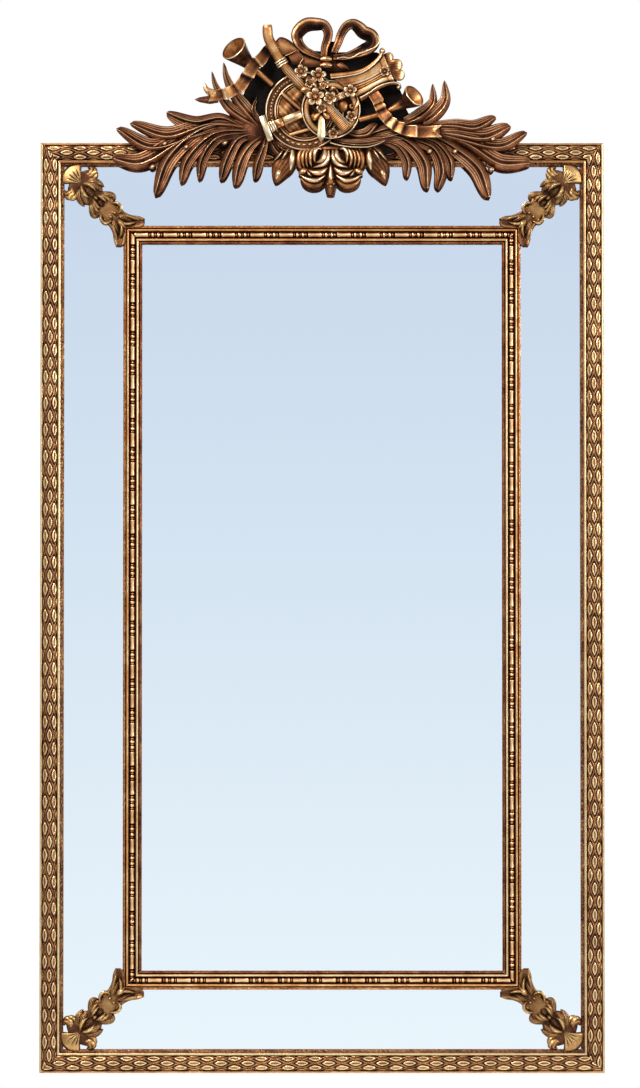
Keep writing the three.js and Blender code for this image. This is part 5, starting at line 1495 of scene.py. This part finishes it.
def left_ribbon():
    """The left ribbon with the folds that lead to it, their rolled edges and the ribbon's two prongs."""
    made = folded_ribbon(LEFT_RIBBON, LEFT_CRESTS, (9.6, 11.2, 9.8), 7.0, LEFT_GLOSSES, 5.0)
    for first, second, foot, bright in LEFT_FOLDS:

        def curved(v, t, bright=bright):
            # painted highlight along the middle of each fold, painted shade at its first edge
            return 1.8 * np.sin(np.pi * v), bright + 0.3 * bump_at(v, 0.5, 0.3) - 0.4 * bump_at(v, 0, 0.12)

        panel(made, first, second, curved, foot, under=foot - 3, stations=24, points=21)
    for line in LEFT_FOLD_EDGES:
        tube(made, line, lambda t: (0.9, 1.3), wear_and_light=0.5, shine=0.2, stations=24, sides=10)
    for line, half, foot, bright in LEFT_PRONGS:
        blade(made, line, half, 4.5, foot=foot, profile=petal_profile, outline=prong_outline,
              stations=24, points=17, swell=lambda t: 1.0 - 0.4 * t, gloss=bright)
    return made


ribbon_piece(left_ribbon(), "ribbon_tail_left")
right_ribbon = folded_ribbon(RIGHT_RIBBON, RIGHT_CRESTS, (9.6, 10.0, 10.4), 4.5, RIGHT_GLOSSES, 14.0)
ribbon_piece(right_ribbon, "ribbon_tail_right")

# ---------------------------------------------------------------- bow

# Middle lines of the loops, from the knot and back to it.
LEFT_LOOP = [
    (3, 153), (5, 170), (10.5, 188), (10, 200), (3, 209), (-11.5, 211), (-26, 210), (-37, 203),
    (-44, 192), (-42, 179), (-32, 167), (-17, 158.5), (-3, 153),
]
RIGHT_LOOP = [
    (21, 160), (29, 179), (34.5, 194), (44.5, 208), (55, 211), (64, 206), (73, 197), (87, 190),
    (90.5, 179), (84.5, 170.5), (69.5, 163), (55, 157.5), (43, 154), (20, 152),
]
RIGHT_LOOP_EDGE = [
    (27, 150), (38, 152.5), (48, 151), (58, 154), (66, 159), (76, 162), (86, 166.5), (97, 172),
    (101, 181), (98, 191),
]
# Half width of each loop's ribbon, by the share of its line.
LEFT_LOOP_WIDTHS = (
    [0, 0.15, 0.3, 0.4, 0.5, 0.62, 0.72, 0.85, 1],
    [6, 7.5, 9, 11.5, 13, 12, 9, 6.5, 5],
)
RIGHT_LOOP_WIDTHS = (
    [0, 0.15, 0.3, 0.42, 0.5, 0.6, 0.7, 0.8, 0.9, 1],
    [6, 7.5, 9, 12, 12.5, 12, 12, 8.5, 6.5, 5],
)


def bow_loop(made, line, widths, hole_side, dark_from, dark_to):
    """One loop of the bow: a thick ribbon with rolled edges, hollow where its inside shows, with a painted
    highlight along one rolled edge and painted shade on the inside.
    """
    stations = 110
    path = smooth_line(line, stations)
    across = flat_across(directions(path)) * hole_side
    t = np.linspace(0, 1, stations)[:, None]
    wide = np.interp(t, *widths)
    v = np.linspace(-1, 1, 25)[None, :]
    inside = smooth_step(t, dark_from, dark_from + 0.1) * smooth_step(t, dark_to, dark_to - 0.1)
    body = 13 + 3 * round_edge(v * 0.97, 1)
    rolled = body + 1.4 * (bump_at(v, -0.78, 0.16) + bump_at(v, 0.7, 0.16)) - 1.8 * bump_at(v, 0, 0.5)
    sunk = body - 9.5 * smooth_step(v, -0.15, 0.75)
    waves = 0.8 * np.sin(t * 22) * np.cos(v * 1.5)
    face = path[:, None, :] + across[:, None, :] * (v * wide)[..., None]
    face[..., 2] = SEAT + rolled * (1 - inside) + sunk * inside + waves
    backs = [path + across * edge * wide + [0, 0, SEAT + 1.5] for edge in (0.85, -0.85)]
    knot = np.maximum(bump_at(t, 0.08, 0.14), bump_at(t, 0.9, 0.12))
    # painted highlight along one rolled edge, painted shade where the loop's inside shows
    lit_and_worn = 0.08 + 0.36 * knot * bump_at(v, 0.1, 0.4) + 0.72 * bump_at(v, -0.62, 0.18)
    lit_and_worn = lit_and_worn + 0.4 * bump_at(v, 0.72, 0.1) * (1 - inside)
    lit_and_worn = lit_and_worn + 0.22 * bump_at(t, dark_from + 0.02, 0.07) * bump_at(v, -0.3, 0.4)
    lit_and_worn = lit_and_worn + 0.26 * bump_at(t, dark_to, 0.08) * bump_at(v, -0.2, 0.45)
    lit_and_worn = lit_and_worn - 0.3 * smooth_step(v, -0.1, 0.4) * inside - 0.6 * smooth_step(np.abs(v), 0.84, 0.98)
    add_relief(made, face, backs, lit_and_worn + 0.05 * np.sin(t * 31), hidden=0.04)


KNOT_MIDDLE = 7
KNOT_BANDS = ((148.5, 10.2), (137.5, 10.6))  # height, half length


def bow():
    """Two loops, the right one's second edge, the knot's two bands and the folds round the knot."""
    made = Carving()
    bow_loop(made, LEFT_LOOP, LEFT_LOOP_WIDTHS, 1, 0.3, 0.72)
    bow_loop(made, RIGHT_LOOP, RIGHT_LOOP_WIDTHS, -1, 0.32, 0.76)
    edge = [(x, z, SEAT + 15.5) for x, z in RIGHT_LOOP_EDGE]
    tube(made, edge, lambda t: (2.0 - 0.8 * np.abs(2 * t - 1), 2.0), wear_and_light=0.62, stations=70, sides=12)
    for high, half in KNOT_BANDS:
        band = [(KNOT_MIDDLE - half, high), (KNOT_MIDDLE, high + 1), (KNOT_MIDDLE + half, high)]
        blade(made, band, 5.8, 8, foot=12,
              profile=petal_profile, outline=arched(0.55), swell=arched(0.8), gloss=0.22)
    for first, second, foot, bright in RIGHT_FOLDS:

        def curved(v, t, bright=bright):
            return 2.2 * np.sin(np.pi * v), bright + 0.5 * bump_at(v, 0.05, 0.06)

        panel(made, first, second, curved, foot, under=foot - 3)
    ribbon_piece(made, "ribbon_bow")


bow()

# ---------------------------------------------------------------- palmette

PALMETTE_AXIS = 15.4
PALMETTE_BASE = ((PALMETTE_AXIS, -40), (54, 30))
# The right half, measured from the axis: line, half width, rise, foot and gloss. The husk's body comes
# first in its list, and its ribs follow.
PALMETTE_LOBES = [
    ([(50, -10), (55, -20), (56, -38), (49, -52)], 7.2, 11, 2, -0.3),
    ([(43, -11), (48, -18), (50, -32), (46, -47)], 5.2, 12, 4, -0.1),
    ([(36, -10), (42, -18), (43, -33), (40, -47)], 5.0, 13, 5, -0.2),
    ([(28, -9), (34.5, -16), (36.5, -30), (33, -45)], 5.4, 14, 6, 0.0),
    ([(16, -12), (22, -10), (27.5, -15), (29, -27), (27, -38)], 5.8, 15, 6, 0.08),
    ([(10.5, -12), (10.5, -22), (15, -31), (27, -36)], 7.6, 16, 7, 0.34),
    ([(3.8, -13), (4.8, -28), (13, -38), (31, -44)], 5.6, 16, 9, 0.3),
    ([(8, -66), (24, -75), (42, -73), (54, -62)], 9.2, 9, 0, -0.4),
    ([(40, -48), (49, -51), (57, -56)], 7.6, 11, 4, -0.05),
    ([(9, -57), (24, -66), (39, -65), (55, -57)], 5.4, 13, 6, 0.14),
    ([(6, -44), (17, -52), (29, -53), (40, -48)], 7.4, 13, 8, 0.1),
    ([(33, -60), (39, -55), (42, -49)], 2.4, 13, 8, 0.35),
]
HUSK = [
    ([(68, -10), (78, -32), (90, -50), (98, -72)], 18.5, 12, 0, 0.0),
    ([(89, -46), (93, -55), (97, -66)], 7.0, 11, 3, 0.05),
    ([(68, -13), (69, -30), (72, -50)], 7.6, 12, 4, 0.2),
    ([(75, -11), (82, -22), (89, -33)], 3.0, 14, 4, 0.3),
    ([(83, -11), (92, -23), (101, -33)], 2.8, 13, 3, 0.2),
]
drop_outline = widening_outline(0.3, 0.75)
pendant_outline = outline_by([0, 0.25, 1], [0.85, 1.0, 0.6])


def palmette():
    """Lobes and husks on both sides of a rib, with a pendant below."""
    half = Carving()
    for lobe in PALMETTE_LOBES + HUSK:
        line, wide, rise, foot, gloss = lobe
        shape = husk_profile if lobe is HUSK[0] else rib_profile
        blade(half, [(PALMETTE_AXIS + x, z) for x, z in line], wide, rise, foot=SEAT + foot, profile=shape,
              outline=lobe_outline, gloss=gloss, stations=34, points=19, swell=arched(0.7))
    made = both_sides(half, lambda points: points * [-1, 1, 1] + [2 * PALMETTE_AXIS, 0, 0])
    axis = PALMETTE_AXIS
    dome(made, *PALMETTE_BASE, 9, wear_and_light=0.2, sides=48)
    dome(made, (axis, -10), (22, 6), 12, wear_and_light=0.45, sides=40)
    blade(made, [(axis, -34), (axis, -52), (axis, -68)], 8.8, 24, profile=rib_profile, outline=drop_outline,
          swell=lambda t: 0.85 + 0.15 * t, gloss=0.12)
    blade(made, [(axis, -66), (axis, -79), (axis, -92)], 11.5, 19, profile=rib_profile,
          outline=pendant_outline, swell=lambda t: 1.0 - 0.35 * t, gloss=-0.36)
    for side in (-1, 1):
        dome(made, (axis + 5.2 * side, -73), (3.4, 2.4), 21, wear_and_light=0.8, tilt=0.5 * side)
    dome(made, (axis, -77), (4.6, 4.0), 23, wear_and_light=0.62)
    trophy_piece(made, "palmette")


palmette()

# ---------------------------------------------------------------- corner mounts

SIGHT_X = FRAME_WIDTH / 2 - STILE_WIDTH
SIGHT_HIGH = FRAME_HEIGHT / 2 - STILE_WIDTH
# Lines run along the mount from the frame's corner inwards, [along, across], and are followed by half
# width, rise, foot, gloss and profile. Those of MOUNT_SIDES are on both sides of the axis.
MOUNT_SIDES = [
    ([(33, 15), (40, 22), (36, 32), (30, 28)], 6, 9, 0, -0.1, "petal"),
    ([(40, 16), (44, 24), (43, 34), (35, 36)], 5.5, 10, 0, 0.15, "petal"),
    ([(46, 17), (51, 22), (49, 31), (43, 35)], 4.5, 9, 0, 0.1, "petal"),
    ([(45, 6), (56, 18), (66, 23), (75, 25)], 7.5, 11, 0, -0.05, "ribbed"),
    ([(48, 6), (62, 13), (72, 15), (80, 13)], 6, 13, 1, 0.0, "ribbed"),
    ([(45, 2.5), (55, 8.5), (64, 9.5), (72, 7)], 4.6, 14, 3, 0.3, "petal"),
    ([(78, 10), (88, 18), (98, 24), (107, 17)], 6.5, 11, 0, 0.0, "ribbed"),
    ([(78, 7), (88, 12), (96, 14), (104, 11)], 5, 13, 1, 0.05, "petal"),
    ([(76, 4), (86, 7.5), (95, 8), (99, 5)], 3.6, 14, 3, 0.3, "petal"),
    ([(104, 12), (112, 20), (122, 20), (127, 11), (123, 5)], 3.2, 12, 3, 0.3, "petal"),
    ([(132, 12), (146, 19), (158, 26), (167, 30)], 4.5, 13, 1, -0.05, "petal"),
    ([(124, 4), (140, 11), (152, 14), (160, 12)], 7, 11, 1, -0.1, "ribbed"),
    ([(140, 1), (148, 4), (154, 10), (160, 20)], 3.0, 12, 6, 0.3, "petal"),
]
MOUNT_AXIS = [
    ([(50, 0), (62, 0), (80, 0)], 6.5, 13, 2, -0.3, "ribbed"),
    ([(74, 0), (80, 0), (86, 0)], 3.4, 14, 4, 0.2, "petal"),
    ([(82, 0), (92, 0), (102, 0)], 6, 12, 2, -0.3, "ribbed"),
    ([(134, 0), (144, 0), (156, 0)], 6, 13, 4, 0.2, "petal"),
]
MOUNT_BALL = (122, 5)
# Half width of the plate behind the relief, at each distance along the mount.
MOUNT_PLATE = (
    [22, 32, 41, 46, 58, 73, 78, 90, 101, 106, 124, 140],
    [6, 24, 31, 23, 17, 22.5, 18, 21.5, 21.5, 18, 19, 18],
)
TAIL_OUTSIDE = [(116, 18), (130, 18.5), (144, 23), (156, 31.5), (166, 36)]
TAIL_INSIDE = [(116, 0), (136, 0), (152, 0.5), (164, 8), (173, 20), (172, 30)]
SHELL_ROOT = (43, 0)
SHELL_REACH = 39
MOUNT_PROFILES = {"petal": petal_profile, "ribbed": ribbed_profile}


def plate_profile(s, t):
    """A plain plate with rounded edges, rubbed brightest where the last relief ends."""
    a = np.abs(s)
    height = 0.5 + 0.5 * np.sqrt(np.clip(1 - a**4, 0, 1))
    lit_and_worn = 0.16 + 0.36 * smooth_step(t, 0.5, 0.64) * smooth_step(t, 0.97, 0.88)
    return height, dark_edge(lit_and_worn, a, 0.88, 0.8)


def tail_profile(v, t):
    """The mount's flared tail: hollow along its middle, ribbed, and thick at its end."""
    ribs = 0.5 + 0.5 * np.cos(v * 30)
    height = 5.5 + 3.5 * bump_at(v, 0.12, 0.2) + 2.5 * bump_at(v, 0.85, 0.2) - 0.4 * ribs
    height = height + 3.5 * smooth_step(t, 0.4, 1.0)
    height = height - 4 * smooth_step(t, 0.94, 1.0) - 4 * smooth_step(v, 0.06, 0.0)
    lit_and_worn = 0.13 + 0.16 * ribs + 0.3 * bump_at(v, 0.16, 0.1) + 0.16 * bump_at(v, 0.8, 0.14)
    return height, lit_and_worn * (1 - 0.7 * smooth_step(t, 0.9, 1.0)) * smooth_step(v, 0.0, 0.06)


def shell_fan(made):
    """The grooved shell at the frame's corner."""
    turn = np.linspace(-1, 1, 41)
    away = np.abs(turn)
    face, backs, lit_and_worn = [], [], []
    for t in np.linspace(0, 1, 26):
        reach = SHELL_REACH * (1 - 0.08 * turn**2) * t + 0.6
        angle = math.pi + turn * math.radians(46 - 8 * (1 - t))
        grooves = (bump_at(away, 0.22, 0.05) + bump_at(away, 0.6, 0.05)) * smooth_step(t, 0.75, 0.4)
        high = 6.5 + 3.5 * math.sin(math.pi * min(1, t * 1.1)) - 2.6 * grooves
        high = high - 3.5 * smooth_step(away, 0.86, 1.0) - 4 * smooth_step(t, 0.9, 1.0)
        face.append(np.stack([*round_points(SHELL_ROOT, reach, angle), high], axis=1))
        x, z = round_points(SHELL_ROOT, 0.94 * reach[[-1, 0]], angle[[-1, 0]])
        backs.append(np.stack([x, z, [0.2, 0.2]], axis=1))
        tone = 0.66 - 0.62 * grooves - 0.25 * smooth_step(t, 0.25, 0.0)
        lit_and_worn.append(tone - 0.4 * smooth_step(away, 0.9, 1.0))
    backs = np.array(backs)
    add_relief(made, np.array(face), [backs[:, 0], backs[:, 1]], np.array(lit_and_worn))


def mount_leaves(made, leaves, points):
    """Adds the leaves of one of the mount's lists."""
    for line, wide, rise, foot, gloss, kind in leaves:
        blade(made, line, wide, rise, foot=foot, profile=MOUNT_PROFILES[kind], outline=lobe_outline,
              gloss=gloss, stations=26, points=points, swell=arched(0.75))


def mount_form():
    """One mount, [along, across, forward] from the corner of the frame's opening."""
    half = Carving()
    mount_leaves(half, MOUNT_SIDES, 21)
    dome(half, MOUNT_BALL, (3.4, 3.4), 17, foot=0, wear_and_light=1.0)
    panel(half, TAIL_OUTSIDE, TAIL_INSIDE, tail_profile, 0, stations=30, points=31)
    made = both_sides(half, lambda points: points * [1, -1, 1])
    shell_fan(made)
    start, end = MOUNT_PLATE[0][0], MOUNT_PLATE[0][-1]
    blade(made, [(start, 0), ((start + end) / 2, 0), (end, 0)], 1.0, 7.5, foot=0, profile=plate_profile,
          outline=lambda t: np.interp(start + t * (end - start), *MOUNT_PLATE), swell=lambda t: 1.0,
          stations=60, points=25)
    mount_leaves(made, MOUNT_AXIS, 25)
    return made


def corner_place(right, up):
    """Puts a mount on a corner; right and up are 1 or -1."""

    def place(points):
        along, across, forward = points.T
        inward, aside = (along + across) / math.sqrt(2), (along - across) / math.sqrt(2)
        x = right * (SIGHT_X - inward)
        z = FRAME_MIDDLE + up * (SIGHT_HIGH - aside)
        return np.stack([x, -(WALL_GAP + ON_GLASS + forward), z], axis=1)

    return place


mount = mount_form()
CORNERS = {"top_left": (-1, 1), "top_right": (1, 1), "bottom_right": (1, -1), "bottom_left": (-1, -1)}
for corner, (right, up) in CORNERS.items():
    placed = Carving().join(mount, corner_place(right, up))
    placed.build(f"corner_mount_{corner}", lambda points: points, MOUNT_GOLD, "old_gold")

# ---------------------------------------------------------------- stage, lights and camera

FLOOR_DROP = 0.45  # below the frame
FLOOR_RADIUS = 2.4
FLOOR_FADE = 0.6  # share of the radius where it starts to fade out
CAMERA_DISTANCE = 12.0
SENSOR_WIDTH = 36
PICTURE_HEIGHT = 1.9286  # metres that the picture's long side spans at the frame
PICTURE_CENTRE = (-0.0036, -0.4139)
PITCH = math.radians(2.3)  # the camera looks up by this much
LIGHT_AIM = (0, 0, FRAME_MIDDLE * MM)

SKY_FACING = [
    (0.0, (237, 246, 251)), (0.435, (235, 246, 252)), (0.56, (217, 231, 243)),
    (0.68, (202, 217, 235)), (0.85, (225, 232, 240)), (1.0, (250, 250, 250)),
]
SKY_AROUND = [
    (0.0, (70, 62, 56)), (0.35, (110, 106, 104)), (0.55, (190, 194, 198)),
    (0.8, (150, 152, 156)), (1.0, (120, 120, 122)),
]


def world():
    """White behind the mirror, a pale sky in front of it, and dimmer sides that the gilding reflects."""
    sky = bpy.data.worlds.new("studio")
    bpy.context.scene.world = sky
    sky.use_nodes = True
    shader = Shader(sky.node_tree)
    rays = shader.add("ShaderNodeLightPath").outputs
    way = shader.add("ShaderNodeTexCoord").outputs["Generated"]
    parts = shader.add("ShaderNodeSeparateXYZ", {"Vector": way}).outputs
    level = shader.span(parts["Z"], -0.25, 0.25)
    height = shader.span(parts["Z"], -1.0, 1.0)
    facing = shader.span(parts["Y"], -0.95, -0.985)
    tones = shader.mix(facing, shader.ramp(height, SKY_AROUND), shader.ramp(level, SKY_FACING))
    soft = shader.add("ShaderNodeBackground", {"Color": (1, 1, 1, 1), "Strength": 0.5}).outputs[0]
    seen = shader.add("ShaderNodeBackground", {"Color": tones, "Strength": 1.0}).outputs[0]
    white = shader.add("ShaderNodeBackground", {"Color": (1, 1, 1, 1), "Strength": 1.0}).outputs[0]
    mirrored = shader.maths("MAXIMUM", rays["Is Glossy Ray"], rays["Is Transmission Ray"])
    first = shader.add("ShaderNodeMixShader", {0: mirrored, 1: soft, 2: seen}).outputs[0]
    last = shader.add("ShaderNodeMixShader", {0: rays["Is Camera Ray"], 1: first, 2: white}).outputs[0]
    shader.add("ShaderNodeOutputWorld", {"Surface": last})


def soft_light(name, place, size, power, tone=(255, 255, 255)):
    """A rectangular lamp that faces the middle of the frame."""
    data = bpy.data.lights.new(name, "AREA")
    data.shape = "RECTANGLE"
    data.size, data.size_y = size
    data.energy = power
    data.color = colour(tone)[:3]
    lamp = new_object(name, data)
    lamp.location = place
    lamp.rotation_euler = (Vector(LIGHT_AIM) - Vector(place)).to_track_quat("-Z", "Y").to_euler()


def floor():
    """A pale round floor that fades out at its edge."""
    x, z = round_points((0, 0), FLOOR_RADIUS, full_turn(64))
    data = bpy.data.meshes.new("floor")
    data.from_pydata(np.stack([x, z, 0 * x], axis=1).tolist(), [], [list(range(len(x)))])
    made = new_object("floor", data)
    made.location = (0, 0, cad_box[0].z - FLOOR_DROP)
    material, shader, surface, where = new_material("pale_floor")
    surface.inputs["Base Color"].default_value = (0.92, 0.92, 0.92, 1)
    surface.inputs["Roughness"].default_value = 0.9
    far = shader.add("ShaderNodeVectorMath", {0: where}, operation="LENGTH").outputs["Value"]
    fade = shader.span(far, FLOOR_RADIUS * FLOOR_FADE, FLOOR_RADIUS)
    clear = shader.add("ShaderNodeBsdfTransparent").outputs[0]
    blend = shader.add("ShaderNodeMixShader", {0: fade, 1: surface.outputs[0], 2: clear})
    output = next(n for n in material.node_tree.nodes if n.type == "OUTPUT_MATERIAL")
    shader.put(output.inputs["Surface"], blend.outputs[0])
    data.materials.append(material)


def camera():
    """The camera stands a little below the mirror's middle and looks slightly upwards."""
    data = bpy.data.cameras.new("camera")
    data.sensor_width = SENSOR_WIDTH
    data.lens = SENSOR_WIDTH * CAMERA_DISTANCE / PICTURE_HEIGHT
    made = new_object("camera", data)
    front = -(WALL_GAP + FRAME_DEPTH) * MM
    x, z = PICTURE_CENTRE
    made.location = (x, front - CAMERA_DISTANCE * math.cos(PITCH), z - CAMERA_DISTANCE * math.sin(PITCH))
    made.rotation_euler = (math.pi / 2 + PITCH, 0, 0)
    bpy.context.scene.camera = made


world()
floor()
camera()
soft_light("key", (-1.9, -2.9, 2.6), (1.4, 1.4), 150, (255, 248, 238))
soft_light("side", (2.8, -2.6, 0.6), (0.9, 2.0), 60)
soft_light("low", (-0.8, -2.2, -3.0), (1.6, 0.8), 25)
soft_light("behind", (1.2, 3.6, 1.8), (2.0, 2.0), 70)

bpy.context.scene.view_settings.view_transform = "Standard"

# ---------------------------------------------------------------- finishes of the frame's own pieces

GLASS = mirror_glass()
BOARD = fibreboard()
WOOD = near_black_wood()
STEEL = zinc_steel()
RUBBER = black_rubber()
FINISHES = [
    ("mirror", GLASS), ("backing", BOARD), ("crest_backboard", WOOD), ("crest_block", WOOD),
    ("bumper", RUBBER), ("crest_strap", STEEL), ("corner_plate", STEEL), ("retainer", STEEL),
    ("hanger", STEEL),
]
for name, node in frame["nodes"].items():
    if node.hide_render:
        continue
    finish = next((material for word, material in FINISHES if word in name), TROPHY_GOLD)
    node.data.materials.clear()
    node.data.materials.append(finish)
